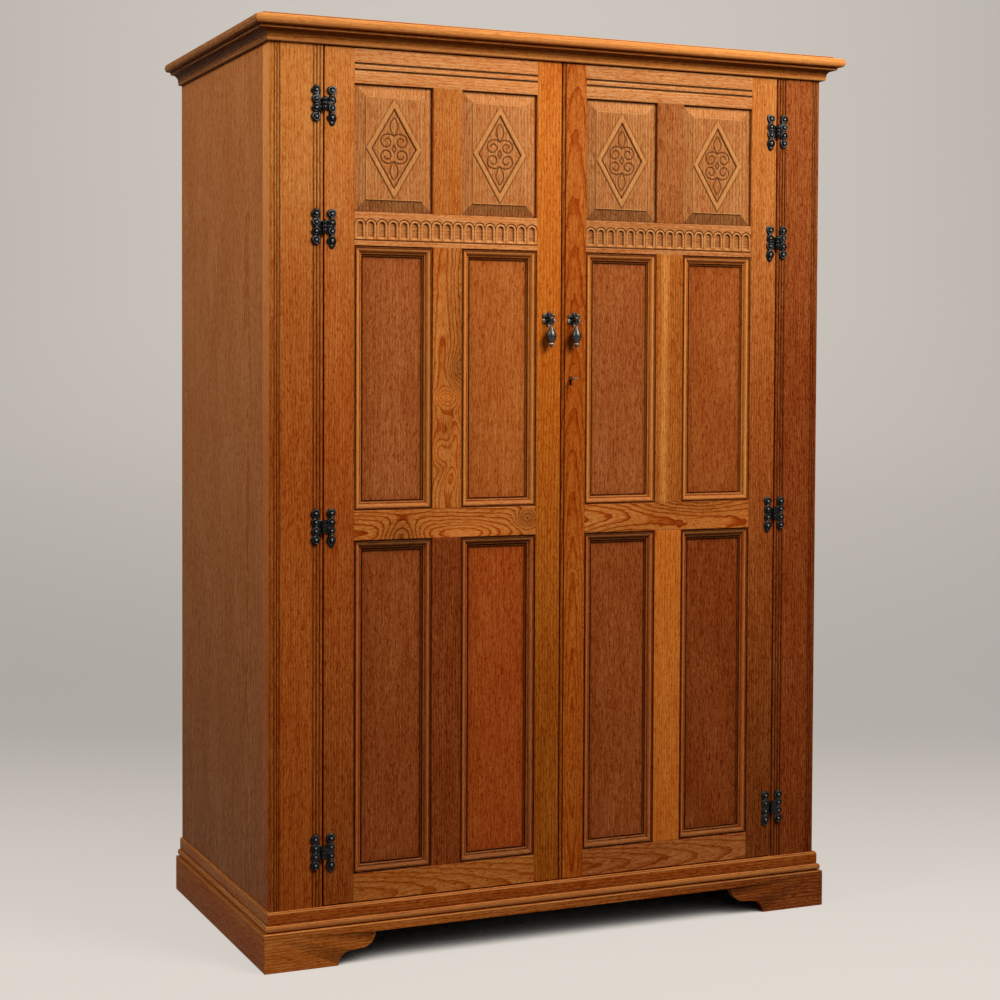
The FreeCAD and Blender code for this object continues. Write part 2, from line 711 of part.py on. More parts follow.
def panel_moulding(column, row):
    """Four mitred strips round one plain panel."""
    stand = PANEL_SET + MOULD_PROUD
    bead_low = stand - MOULD_BEAD_W / 2
    inner_start = MOULD_W - MOULD_INNER_W
    inner_top = MOULD_INNER_H + MOULD_INNER_RISE
    section = [
        (0, 0),
        (0, bead_low),
        (MOULD_BEAD_W, bead_low, MOULD_BEAD_W / 2, stand),
        (MOULD_BEAD_W, stand - MOULD_BEAD_W / 2 - MOULD_QUIRK),
        (inner_start, MOULD_FOOT_H),
        (inner_start, MOULD_INNER_H),
        (MOULD_W, MOULD_INNER_H, MOULD_W - MOULD_INNER_W / 2, inner_top),
        (MOULD_W, 0),
    ]
    width = column[1] - column[0]
    height = row[1] - row[0]
    foot_plan = [(0, 0), (width, 0), (width - MOULD_W, MOULD_W), (MOULD_W, MOULD_W)]
    side_plan = [(0, 0), (MOULD_W, MOULD_W), (MOULD_W, height - MOULD_W), (0, height)]
    x0 = column[0]
    z0 = row[0]
    depth = V(0, -stand - CUT_OVER, 0)
    foot = outline(section, lambda u, v: V(x0, Y_PANEL - v, z0 + u)).extrude(V(width, 0, 0))
    foot = foot.common(outline(foot_plan, lambda x, z: V(x0 + x, Y_PANEL, z0 + z)).extrude(depth))
    side = outline(section, lambda u, v: V(x0 + u, Y_PANEL - v, z0)).extrude(V(0, 0, height))
    side = side.common(outline(side_plan, lambda x, z: V(x0 + x, Y_PANEL, z0 + z)).extrude(depth))
    head = foot.mirror(V(0, 0, z0 + height / 2), V(0, 0, 1))
    other = side.mirror(V(x0 + width / 2, 0, 0), V(1, 0, 0))
    return [foot, head, side, other]


def hinge_leaf(outward, barrels):
    """Lobed leaf beside the hinge axis with the knuckle barrels it carries, at height zero."""
    x_lobe = X_AXIS + outward * LEAF_OFFSET
    pieces = []
    for index in range(LOBE_COUNT):
        z = (index - (LOBE_COUNT - 1) / 2) * LOBE_PITCH
        pieces.append(rod(LOBE_R, V(x_lobe, Y_FACE - LEAF_T, z), V(x_lobe, Y_FACE, z)))
    x_neck = sorted((X_AXIS + outward * NECK_REACH, x_lobe))
    holes = []
    for low, high in barrels:
        pieces.append(box(x_neck, (Y_FACE - LEAF_T, Y_FACE), (low, high)))
        pieces.append(rod(KNUCKLE_R, V(X_AXIS, Y_AXIS, low), V(X_AXIS, Y_AXIS, high)))
        start = V(X_AXIS, Y_AXIS, low - CUT_OVER)
        holes.append(rod(PIN_R + PIN_CLEAR, start, V(X_AXIS, Y_AXIS, high + CUT_OVER)))
    return cut(fuse(pieces), holes)


def hinge():
    """Post leaf, door leaf and pin of one right-hand hinge, at height zero."""
    barrel_h = (KNUCKLE_H - 2 * BARREL_GAP) / 3
    half = KNUCKLE_H / 2
    post_leaf = hinge_leaf(1, [(-half, barrel_h - half), (half - barrel_h, half)])
    door_leaf = hinge_leaf(-1, [(-barrel_h / 2, barrel_h / 2)])
    foot = V(X_AXIS, Y_AXIS, -half - PIN_HEAD_H)
    head = V(X_AXIS, Y_AXIS, half + PIN_HEAD_H)
    pin = fuse([
        rod(PIN_R, foot, head),
        rod(PIN_HEAD_R, foot, V(X_AXIS, Y_AXIS, -half)),
        rod(PIN_HEAD_R, V(X_AXIS, Y_AXIS, half), head),
    ])
    return post_leaf, door_leaf, pin


def pull_plate():
    """Leafy plate on the right meeting stile with the two ears and the pin that carry the drop."""
    y_plate = (Y_FACE - PLATE_T, Y_FACE)
    pieces = [rod(PLATE_R, V(X_PULL, y_plate[0], Z_PULL), V(X_PULL, y_plate[1], Z_PULL))]
    for index in range(PLATE_LOBES):
        angle = 2 * math.pi * index / PLATE_LOBES
        x = X_PULL + PLATE_R * math.cos(angle)
        z = Z_PULL + PLATE_R * math.sin(angle)
        pieces.append(rod(PLATE_LOBE_R, V(x, y_plate[0], z), V(x, y_plate[1], z)))
    y_boss = Y_FACE - PLATE_T - BOSS_L
    pieces.append(rod(BOSS_R, V(X_PULL, y_boss, Z_PULL), V(X_PULL, Y_FACE, Z_PULL)))
    reach = EYE_W / 2 + EYE_GAP
    for side in (-1, 1):
        near = X_PULL + side * reach
        far = near + side * EAR_T
        pieces.append(rod(EAR_R, V(near, Y_PULL_AXIS, Z_PULL), V(far, Y_PULL_AXIS, Z_PULL)))
        pieces.append(box(sorted((near, far)), (Y_PULL_AXIS, y_boss), (Z_PULL - EAR_R, Z_PULL + EAR_R)))
    pin_end = reach + EAR_T
    start = V(X_PULL - pin_end, Y_PULL_AXIS, Z_PULL)
    pieces.append(rod(PULL_PIN_R, start, V(X_PULL + pin_end, Y_PULL_AXIS, Z_PULL)))
    return fuse(pieces)


def pull_drop():
    """Pear drop that hangs by its eye from the pin of the right pull."""
    z_neck = (PULL_PIN_R + EYE_R) / 2
    waist = (DROP_NECK_L + DROP_BULB_L) / 2
    half = math.sin(math.pi / 4)
    z_tip_neck = DROP_BULB_L + math.sqrt(DROP_BULB_R ** 2 - DROP_TIP_NECK_R ** 2)
    z_tip = z_tip_neck + math.sqrt(DROP_TIP_R ** 2 - DROP_TIP_NECK_R ** 2)
    profile = [
        (0, -z_neck),
        (DROP_NECK_R, -z_neck),
        (DROP_NECK_R, -DROP_NECK_L),
        (DROP_BULB_R, -DROP_BULB_L, DROP_WAIST_R, -waist),
        (DROP_TIP_NECK_R, -z_tip_neck, DROP_BULB_R * half, -DROP_BULB_L - DROP_BULB_R * half),
        (0, -z_tip - DROP_TIP_R, DROP_TIP_R, -z_tip),
    ]
    pear = outline(profile, lambda r, z: V(X_PULL + r, Y_PULL_AXIS, Z_PULL + z))
    pear = pear.revolve(V(X_PULL, Y_PULL_AXIS, Z_PULL), V(0, 0, 1), 360)
    start = V(X_PULL - EYE_W / 2, Y_PULL_AXIS, Z_PULL)
    end = V(X_PULL + EYE_W / 2, Y_PULL_AXIS, Z_PULL)
    return fuse([pear, rod(EYE_R, start, end)]).cut(rod(PULL_PIN_R + PIN_CLEAR, start, end))


def keyhole(y):
    """Round-topped slot through the stile and the front of the lock."""
    top = rod(KEYHOLE_R, V(X_KEY, y[0], Z_KEY), V(X_KEY, y[1], Z_KEY))
    half = KEYHOLE_SLOT_W / 2
    slot = box((X_KEY - half, X_KEY + half), y, (Z_KEY - KEYHOLE_SLOT_L, Z_KEY))
    return fuse([top, slot])


def bolt_bar(grow=0.0, shift=0.0):
    """Square bolt of the lock at rest, or the slot that it slides through."""
    x_tip = X_MEET_EDGE + LOCK_INSET
    y_mid = Y_DOOR_BACK + LOCK_T / 2
    z_low = Z_KEY + BOLT_RISE
    return box(
        (x_tip - shift - grow, x_tip + BOLT_L + grow),
        (y_mid - BOLT_T / 2 - grow, y_mid + BOLT_T / 2 + grow),
        (z_low - grow, z_low + BOLT_H + grow),
    )


def lock_case():
    """Hollow lock on the back of the right meeting stile, with the keyhole and the bolt's slot."""
    x = (X_MEET_EDGE + LOCK_INSET, X_MEET_EDGE + LOCK_INSET + LOCK_W)
    y = (Y_DOOR_BACK, Y_DOOR_BACK + LOCK_T)
    z = (Z_KEY - LOCK_H / 2, Z_KEY + LOCK_H / 2)
    room = box(*[(low + LOCK_WALL, high - LOCK_WALL) for low, high in (x, y, z)])
    hole = keyhole((Y_DOOR_BACK - CUT_OVER, Y_DOOR_BACK + LOCK_WALL + CUT_OVER))
    return cut(box(x, y, z), [room, hole, bolt_bar(BOLT_CLEAR, CUT_OVER)])


def lock_keeper():
    """Box on the back of the left meeting stile that the lock bolt enters."""
    x_face = -X_MEET_EDGE - LOCK_INSET
    z_low = Z_KEY + BOLT_RISE - KEEPER_ROOM - KEEPER_WALL
    z_high = Z_KEY + BOLT_RISE + BOLT_H + KEEPER_ROOM + KEEPER_WALL
    body = box((x_face - KEEPER_W, x_face), (Y_DOOR_BACK, Y_DOOR_BACK + LOCK_T), (z_low, z_high))
    y_mid = Y_DOOR_BACK + LOCK_T / 2
    y_room = BOLT_T / 2 + KEEPER_ROOM
    x_thrown = X_MEET_EDGE + LOCK_INSET - BOLT_THROW
    mouth = box(
        (x_thrown - KEEPER_ROOM, x_face + CUT_OVER),
        (y_mid - y_room, y_mid + y_room),
        (z_low + KEEPER_WALL, z_high - KEEPER_WALL),
    )
    return body.cut(mouth)


def key():
    """Key standing in the lock with its bow level."""
    y_bow = Y_FACE - KEY_REACH + KEY_BOW_R
    y_end = Y_DOOR_BACK + LOCK_T - LOCK_WALL - KEY_END_GAP
    z_bow = (Z_KEY - KEY_BOW_T / 2, Z_KEY + KEY_BOW_T / 2)
    bow = rod(KEY_BOW_R, V(X_KEY, y_bow, z_bow[0]), V(X_KEY, y_bow, z_bow[1]))
    z_hole = (z_bow[0] - CUT_OVER, z_bow[1] + CUT_OVER)
    hole = rod(KEY_BOW_HOLE_R, V(X_KEY, y_bow, z_hole[0]), V(X_KEY, y_bow, z_hole[1]))
    y_shank = y_bow + (KEY_BOW_R + KEY_BOW_HOLE_R) / 2
    shank = rod(KEY_SHANK_R, V(X_KEY, y_shank, Z_KEY), V(X_KEY, y_end, Z_KEY))
    half = KEY_BIT_T / 2
    bit = box((X_KEY, X_KEY + KEY_BIT_R), (y_end - KEY_BIT_L, y_end), (Z_KEY - half, Z_KEY + half))
    return fuse([bow.cut(hole), shank, bit])


def door_bolt(z_tip, up):
    """Rod and knob of a bolt on the left door, with its casing; z_tip is its end at rest."""
    x = -X_PULL
    z_end = z_tip - up * DOOR_BOLT_L
    shaft = rod(DOOR_BOLT_R, V(x, Y_BOLT_AXIS, z_end), V(x, Y_BOLT_AXIS, z_tip))
    z_knob = (z_tip + z_end - up * DOOR_BOLT_THROW) / 2
    knob = rod(KNOB_R, V(x, Y_BOLT_AXIS, z_knob), V(x, Y_BOLT_AXIS + DOOR_BOLT_R + KNOB_L, z_knob))
    z_mid = (z_tip + z_end) / 2
    half_w = CASING_W / 2
    plate = box(
        (x - half_w, x + half_w),
        (Y_DOOR_BACK, Y_DOOR_BACK + CASING_T),
        (z_mid - CASING_L / 2, z_mid + CASING_L / 2),
    )
    staples = []
    half_s = STAPLE_W / 2
    for low in (z_mid - CASING_L / 2, z_mid + CASING_L / 2 - STAPLE_L):
        y = (Y_DOOR_BACK + CASING_T, Y_BOLT_AXIS + half_s)
        staples.append(box((x - half_s, x + half_s), y, (low, low + STAPLE_L)))
    bore = rod(DOOR_BOLT_R + DOOR_BOLT_CLEAR, V(x, Y_BOLT_AXIS, z_end), V(x, Y_BOLT_AXIS, z_tip))
    return fuse([shaft, knob]), fuse([plate] + staples).cut(bore)


def save_carcase():
    """Write the pieces that stand still."""
    post = corner_post()
    side = side_panel()
    cornice_front, cornice_side = cornice()
    base_front, base_side = base_moulding()
    plinth_front, plinth_side, plinth_back, blocks = plinth()
    pairs = {
        "corner_post": post,
        "side_panel": side,
    }
    for name, shape in pairs.items():
        save("right_" + name, shape)
        save("left_" + name, mirrored(shape))
    strips = {
        "cornice": (cornice_front, cornice_side),
        "base_moulding": (base_front, base_side),
        "plinth": (plinth_front, plinth_side),
    }
    for name, (front, right) in strips.items():
        save(name + "_front", front)
        save(name + "_right", right)
        save(name + "_left", mirrored(right))
    save("plinth_back", plinth_back)
    save("plinth_blocks", *blocks)
    x_back = X_SIDE_IN + BACK_REBATE_W - JOINT_CLEAR
    save("back_panel", box((-x_back, x_back), (Y_BACK - BACK_T, Y_BACK), (PLINTH_H, Z_CARCASE_TOP)))
    save("top_board", box((-X_BODY, X_BODY), (Y_FACE, Y_BACK), (Z_CARCASE_TOP, Z_CARCASE_TOP + TOP_T)))
    save("bottom_board", bottom_board())
    save("head_rail", head_rail())
    save("bottom_rail", bottom_rail())
    save("hat_shelf", hat_shelf())
    save("shelf_cleats", *shelf_cleats())
    rail, socket = hanging_rail()
    save("hanging_rail", rail)
    save("rail_sockets", socket, mirrored(socket))


def save_door(side, place):
    """Write one door's woodwork; place turns a right-hand shape into this side's."""
    hinge_stile, meeting_stile = door_stiles()
    if side == "right":
        x_bead = X_MEET_EDGE + MEETING_BEAD_W
        bead_line = rod(LINE_R / 2, V(x_bead, Y_FACE, Z_DOOR), V(x_bead, Y_FACE, Z_DOOR_TOP))
        through = keyhole((Y_FACE - CUT_OVER, Y_DOOR_BACK + CUT_OVER))
        meeting_stile = cut(meeting_stile, [bead_line, through])
    save(side + "_hinge_stile", place(hinge_stile))
    save(side + "_meeting_stile", place(meeting_stile))
    for name in DOOR_RAILS:
        save(side + "_" + name, place(door_rail(name)))
    save(side + "_muntins", *[place(muntin) for muntin in door_muntins()])
    save(side + "_carved_panels", *[place(carved_panel(column, CARVED_ROW)) for column in COLUMNS])
    plain = [(column, row) for column in COLUMNS for row in PLAIN_ROWS]
    save(side + "_plain_panels", *[place(panel_tongue(*opening)) for opening in plain])
    strips = [strip for opening in plain for strip in panel_moulding(*opening)]
    save(side + "_panel_mouldings", *[place(strip) for strip in strips])
    save(side + "_pull_plate", place(pull_plate()))
    save(side + "_pull_drop", place(pull_drop()))


def save_hinges():
    """Write the leaves and pins of both doors' hinges."""
    post_leaf, door_leaf, pin = hinge()
    post_leaves = [moved(post_leaf, z=z) for z in HINGE_HEIGHTS]
    door_leaves = [moved(door_leaf, z=z) for z in HINGE_HEIGHTS]
    pins = [moved(pin, z=z) for z in HINGE_HEIGHTS]
    save("hinge_post_leaves", *post_leaves, *[mirrored(leaf) for leaf in post_leaves])
    save("hinge_pins", *pins, *[mirrored(one) for one in pins])
    save("right_hinge_leaves", *door_leaves)
    save("left_hinge_leaves", *[mirrored(leaf) for leaf in door_leaves])


def save_locks():
    """Write the lock, its key and keeper, and the left door's bolts."""
    save("lock_case", lock_case())
    save("lock_bolt", bolt_bar())
    save("lock_keeper", lock_keeper())
    save("key", key())
    head_bolt, head_casing = door_bolt(Z_STOP - DOOR_BOLT_SET, 1)
    foot_bolt, foot_casing = door_bolt(Z_BOARD_TOP + DOOR_BOLT_SET, -1)
    save("top_bolt", head_bolt)
    save("bottom_bolt", foot_bolt)
    save("bolt_casings", head_casing, foot_casing)


os.makedirs("parts", exist_ok=True)
save_carcase()
save_door("right", lambda shape: shape)
save_door("left", mirrored)
save_hinges()
save_locks()
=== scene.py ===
import json
import math

import bpy
import numpy as np
from mathutils import Matrix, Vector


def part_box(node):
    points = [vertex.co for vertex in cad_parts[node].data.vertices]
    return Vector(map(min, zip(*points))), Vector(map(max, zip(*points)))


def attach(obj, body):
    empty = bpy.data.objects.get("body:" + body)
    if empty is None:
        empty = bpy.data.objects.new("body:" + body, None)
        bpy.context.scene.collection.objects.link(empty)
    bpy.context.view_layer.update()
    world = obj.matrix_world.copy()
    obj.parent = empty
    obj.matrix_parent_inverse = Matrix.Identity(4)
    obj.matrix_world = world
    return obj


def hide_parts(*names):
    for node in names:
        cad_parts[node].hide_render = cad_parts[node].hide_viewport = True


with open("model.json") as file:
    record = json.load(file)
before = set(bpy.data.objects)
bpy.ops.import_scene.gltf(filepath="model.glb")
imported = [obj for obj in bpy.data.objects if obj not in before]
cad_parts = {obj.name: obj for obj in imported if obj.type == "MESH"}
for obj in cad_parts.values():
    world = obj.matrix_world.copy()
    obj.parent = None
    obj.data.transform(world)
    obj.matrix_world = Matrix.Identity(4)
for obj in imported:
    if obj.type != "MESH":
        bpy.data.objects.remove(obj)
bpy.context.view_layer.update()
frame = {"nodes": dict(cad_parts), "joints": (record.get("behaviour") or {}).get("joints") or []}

bl_info = {
    "name": "Panelled Oak Wardrobe",
    "version": (1, 0, 0),
    "blender": (4, 5, 0),
    "location": "3D View > Sidebar > Wardrobe",
    "description": "Oak boards, carving and ironwork of a two-door wardrobe, laid over its solids",
    "category": "Add Mesh",
}

# Sizes read from the solids and sizes times MM are in metres, the operators' other sizes in millimetres
MM = 0.001
X, Y, Z = 0, 1, 2

# Which axes a board's grain, width and thickness run along
UPRIGHT = (Z, X, Y)
LEVEL = (X, Z, Y)
SIDE_UPRIGHT = (Z, Y, X)
SIDE_LEVEL = (Y, Z, X)
FLAT = (X, Y, Z)

SIDES = (("right", 1), ("left", -1))
RAILS = ("bottom_rail", "middle_rail", "carved_rail", "top_rail")
DRAW = np.random.default_rng(1936)

# Where a board lies in its log: how far aside from the pith, how far in front of it, and how the pith
# leans along the board, each with its spread, in metres
CUTS = {
    "flat": ((0.0, 0.012), (0.045, 0.015), (0.05, 0.02)),
    "straight": ((0.16, 0.04), (0.08, 0.03), (0.0, 0.012)),
}
# How much a knot darkens the board for each millimetre that it lifts the rings
KNOT_SHADE = 0.011
# Edges that turn by more degrees than this stay sharp: on plain boards, on carved ones and on castings
PLAIN, CARVED, CAST = 14, 35, 40


def linear(hex_text):
    """Linear colour from an sRGB hex value."""
    srgb = [int(hex_text[i:i + 2], 16) / 255 for i in (1, 3, 5)]
    return tuple(c / 12.92 if c <= 0.04045 else ((c + 0.055) / 1.055) ** 2.4 for c in srgb)


def colour(label, hex_text):
    """Colour property with its default."""
    return bpy.props.FloatVectorProperty(
        name=label, description=label + " before grain and wear", subtype="COLOR", size=3,
        min=0.0, max=1.0, default=linear(hex_text),
    )


def length(label, millimetres):
    """Length property with its default in millimetres."""
    return bpy.props.FloatProperty(
        name=label, description=label + " on the real piece", unit="LENGTH", min=0.0,
        default=millimetres * MM,
    )


def power(label, watts):
    """Lamp power property with its default."""
    return bpy.props.FloatProperty(
        name=label, description="Power of the " + label.lower(), unit="POWER", default=watts,
    )


class WardrobeOak(bpy.types.PropertyGroup):
    """Colours and sizes of the oak."""
    honey: colour("Honey oak", "#aa5f24")
    golden: colour("Golden oak", "#a35519")
    amber: colour("Amber oak", "#964714")
    chestnut: colour("Chestnut oak", "#904a1f")
    russet: colour("Russet oak", "#933f12")
    sienna: colour("Sienna oak", "#833e17")
    umber: colour("Umber oak", "#753310")
    tan: colour("Tan carved oak", "#a46534")
    brown: colour("Brown side oak", "#9a5a2a")
    bare: colour("Plain inside timber", "#a9804f")
    # Pale of rubbed edges, also laid on crests, beads and carving as painted highlights
    pale: colour("Rubbed edges", "#d89c58")
    # Pale oak, used for the sapwood stripe and as painted light towards the tops of boards
    straw: colour("Bleached oak", "#d48f45")
    # Dark of old wax, also laid in grooves, quirks, recesses and along board edges as painted shade
    wax_and_shade: colour("Old wax in the hollows", "#160903")
    ring_width: length("Width of a growth ring", 5.5)
    edge_round: length("Rounding of the board edges", 0.8)


class WardrobeMetal(bpy.types.PropertyGroup):
    """Colours of the metal fittings."""
    iron: colour("Black lacquered iron", "#0c0e0d")
    pewter: colour("Dark pewter", "#54514c")
    steel: colour("Lock steel", "#94836a")
    brass: colour("Rail brass", "#b08a48")
    # Pale of rubbed metal, laid on the iron and pewter as painted highlights
    rubbed_and_highlight: colour("Rubbed high places", "#d6cfbf")


class WardrobeStage(bpy.types.PropertyGroup):
    """Floor, backdrop and lamps."""
    floor: colour("Floor and backdrop", "#e1dad2")
    sky_tone: colour("Even light all round", "#f2efec")
    key_power: power("Key lamp", 125.0)
    fill_power: power("Fill lamp", 60.0)
    sky: bpy.props.FloatProperty(name="Sky", description="Strength of the even light all round", default=0.16)


def oak_settings():
    """The oak's property group on this scene."""
    return bpy.context.scene.wardrobe_oak


def stain(name, *shares):
    """Stain of this name, made stronger by one share, or by a share for each of red, green and blue."""
    return np.asarray(getattr(oak_settings(), name)) * (shares or 1.0)


def smooth_step(share):
    """Rise from nought to one that starts and ends gently."""
    return share ** 2 * (3 - 2 * share)


def unit(value):
    """Value kept between nought and one."""
    return np.clip(value, 0, 1)


def bell(distance, width):
    """One at no distance, falling off on both sides as a bell curve of this width."""
    return np.exp(-(distance / width) ** 2)


class Form:
    """Points of a closed surface, its faces, and each point's wear and painted highlight, grime and painted
    shade, and tone.
    """

    def __init__(self, points, faces, wear, grime, tone=1.0):
        self.points = np.asarray(points, float).reshape(-1, 3)
        count = len(self.points)
        self.faces = outward(self.points, faces)
        self.wear, self.grime, self.tone = (
            np.broadcast_to(np.asarray(value, float).ravel(), count) for value in (wear, grime, tone)
        )
        self.pale = np.zeros(count)
        self.local = np.zeros((count, 3))
        self.grain = np.zeros((count, 3))
        self.tint = np.ones((count, 3))
        self.figure = 0.0

    def placed(self, sign):
        """This surface for the right side, or the same one on the other side of the middle for the left."""
        if sign > 0:
            return self
        return Form(self.points * (-1, 1, 1), self.faces, self.wear, self.grime, self.tone)

    def rise(self, low, high):
        """Share of the way up from one height to another."""
        return unit((self.points[:, Z] - low) / (high - low))

    def darkened(self, foot, low, high):
        """Painted shade: darker towards the floor, the tone rising from foot at the low height to one at the
        high one.
        """
        self.tone = self.tone * (foot + (1 - foot) * self.rise(low, high))
        return self

    def lit_from_above(self, most, low=1.0, high=1.75):
        """Painted light: paler towards the top, where more light falls, in a smooth rise between two heights.
        """
        self.pale = most * smooth_step(self.rise(low, high))
        return self

    def sawn(self, axes, tint, cut, figure):
        """Give the points their place in the log: along the grain, then across and in from the pith.

        A flat cut lies close in front of a tilted pith, so its rings show as long arches; a straight cut lies
        far to one side.
        """
        middle = (self.points.min(axis=0) + self.points.max(axis=0)) / 2
        self.local = (self.points - middle)[:, axes]
        turn = DRAW.uniform(-1, 1, 4)
        (aside, aside_spread), (inward, inward_spread), (lean, lean_spread) = CUTS[cut]
        aside = aside * np.sign(turn[1]) + aside_spread * turn[1]
        inward = inward + inward_spread * turn[2]
        log_length = 4.0
        self.grain = self.local + (log_length * turn[0], aside, inward)
        self.grain[:, 2] += (lean + lean_spread * turn[3]) * self.local[:, 0]
        # The tone may carry painted shade and light, and the pale share goes towards straw for sapwood and
        # for painted light near the top
        coat = np.asarray(tint, float) * self.tone[:, None]
        self.tint = coat + self.pale[:, None] * (stain("straw") - coat)
        self.figure = figure
        return self

    def knotted(self, knots):
        """Lift the rings in a bell round each knot: they close about it, and the board turns darker there.

        A knot is its place along and across the board, its lift, and its reach both ways, in millimetres.
        """
        for along, across, lift, long, wide in knots:
            away = np.hypot((self.local[:, 0] / MM - along) / long, (self.local[:, 1] / MM - across) / wide)
            near = bell(away, math.sqrt(2))
            self.grain[:, 2] += lift * MM * near
            self.tint = self.tint * (1 - KNOT_SHADE * lift * near)[:, None]
        return self


def outward(points, faces):
    """Faces turned outwards, so that the closed surface's signed tetrahedra add up to a positive volume."""
    total = 0.0
    for group in faces:
        first = points[group[:, 0]]
        for step in range(1, group.shape[1] - 1):
            total += np.sum(first * np.cross(points[group[:, step]], points[group[:, step + 1]]))
    return faces if total >= 0 else [group[:, ::-1] for group in faces]


def grid_faces(rows, columns, wrap):
    """Quads between neighbouring rows and columns; wrap joins the last column to the first."""
    row = np.arange(rows - 1)[:, None] * columns
    here = np.arange(columns if wrap else columns - 1)[None, :]
    there = (here + 1) % columns
    corners = (row + here, row + there, row + columns + there, row + columns + here)
    return np.stack(corners, axis=-1).reshape(-1, 4)


def tube(grid, wear, grime=0.0):
    """Rows of closed rings joined into a surface, with the first and last ring filled in."""
    rows, columns = grid.shape[:2]
    first = np.arange(columns)[None, :]
    last = first + (rows - 1) * columns
    faces = [grid_faces(rows, columns, True), first[:, ::-1], last]
    shape = (rows, columns)
    return Form(grid, faces, np.broadcast_to(wear, shape), np.broadcast_to(grime, shape))


def board(low, high, along, rounding=None, arris=-0.2, parts=1):
    """Box with eased edges: a rounded rectangle carried along, drawn in by a quarter circle at both ends.

    The arris is how rubbed its edges are, with a painted highlight, or below nought how dirty they are, with
    painted shade.
    """
    radius = oak_settings().edge_round if rounding is None else rounding
    low, high = np.asarray(low, float), np.asarray(high, float)
    across, deep = [axis for axis in (X, Y, Z) if axis != along]
    steps = 3
    quarter = np.linspace(0, math.pi / 2, steps + 1)
    angle = (quarter[None, :] + np.arange(4)[:, None] * math.pi / 2).ravel()
    corner = np.repeat([(1, 1), (-1, 1), (-1, -1), (1, -1)], steps + 1, axis=0)
    half = (high - low) / 2 - radius
    middle = (high + low) / 2
    narrowest = 0.02
    swell = radius * np.maximum(np.sin(quarter), narrowest)
    inset = radius * (1 - np.cos(quarter))
    between = np.linspace(low[along] + radius, high[along] - radius, parts + 1)[1:-1]
    swell = np.concatenate((swell, np.full(len(between), radius), swell[::-1]))[:, None]
    grid = np.zeros((len(swell), len(angle), 3))
    grid[:, :, along] = np.concatenate((low[along] + inset, between, high[along] - inset[::-1]))[:, None]
    grid[:, :, across] = middle[across] + corner[:, 0] * half[across] + swell * np.cos(angle)
    grid[:, :, deep] = middle[deep] + corner[:, 1] * half[deep] + swell * np.sin(angle)
    edge = np.sin(2 * np.tile(quarter, 4))[None, :]
    end = np.sin(2 * np.concatenate((quarter, np.zeros(len(between)), quarter[::-1])))[:, None]
    strength = np.maximum(edge, end) * arris
    return tube(grid, unit(strength), unit(-strength))


def arc(start, end, bow, steps=10):
    """Circular arc between two points of a profile; its middle stands bow to the left of the chord."""
    start, end = np.asarray(start, float), np.asarray(end, float)
    chord = end - start
    side = np.array((-chord[1], chord[0])) / np.hypot(*chord)
    half = 2 * math.atan2(2 * abs(bow), np.hypot(*chord))
    angle = np.linspace(-half, half, steps + 1)[:, None]
    rise = (np.cos(angle) - math.cos(half)) / (1 - math.cos(half))
    return (start + end) / 2 + np.sin(angle) / math.sin(half) * chord / 2 + rise * bow * side


def profile(*pieces):
    """One outline in metres from points and arcs in millimetres, with doubled points left out."""
    points = np.concatenate([np.atleast_2d(np.asarray(piece, float)) for piece in pieces])
    apart = np.hypot(*(points - np.roll(points, 1, axis=0)).T) > 1e-6
    return points[apart] * MM


def eased(outline, ease):
    """Outline with each sharp corner replaced by a short curve, and each point's wear and highlight or grime
    and shade.

    A corner that points out is rubbed and painted as a highlight, one that points in is dirty and painted as
    shade; a curve is so by how far it turns.
    """
    sharp_turn, full_turn = 0.5, 0.4
    before = np.roll(outline, 1, axis=0)
    after = np.roll(outline, -1, axis=0)
    entry, leave = outline - before, after - outline
    entry_size, leave_size = np.hypot(*entry.T), np.hypot(*leave.T)
    turn = np.arctan2(entry[:, 0] * leave[:, 1] - entry[:, 1] * leave[:, 0], np.sum(entry * leave, axis=1))
    turn = turn * np.sign(turn.sum())
    sharp = np.abs(turn) > sharp_turn
    most = 0.4 * np.minimum(entry_size, leave_size)
    size = np.where(sharp, np.minimum(ease, most), 0.0)[:, None]
    start = outline - size * entry / entry_size[:, None]
    end = outline + size * leave / leave_size[:, None]
    count = np.where(sharp, 4, 1)
    which = np.repeat(np.arange(len(outline)), count)
    place = np.arange(len(which)) - np.repeat(np.cumsum(count) - count, count)
    share = np.where(sharp[which], place / 3, 0.5)[:, None]
    rest = 1 - share
    points = rest ** 2 * start[which] + 2 * share * rest * outline[which] + share ** 2 * end[which]
    strength = np.where(sharp[which], np.isin(place, (1, 2)) * np.sign(turn[which]), turn[which] / full_turn)
    return points, unit(strength), unit(-strength)


def strip(outline, start, run, out, up, mitres=(0.0, 0.0), rub_and_highlight=1.0, soil_and_shade=1.0, ease=0.8 * MM, parts=1):
    """Profile carried along a straight run; a mitre shortens that end by its slope times the distance out.

    The rub and the soil are the shares of wear with painted highlight and of old wax with painted shade that
    show, and ease rounds its sharp corners.
    """
    section, wear, grime = eased(outline, ease)
    run = np.asarray(run, float)
    size = np.linalg.norm(run)
    share = np.linspace(0, 1, parts + 1)[:, None]
    ends = (1 - share) * mitres[0] * section[:, 0] + share * (size - mitres[1] * section[:, 0])
    face = section[:, :1] * np.asarray(out, float) + section[:, 1:] * np.asarray(up, float)
    grid = np.asarray(start, float) + face[None, :, :] + ends[:, :, None] * run / size
    return tube(grid, rub_and_highlight * wear[None, :], soil_and_shade * grime[None, :])


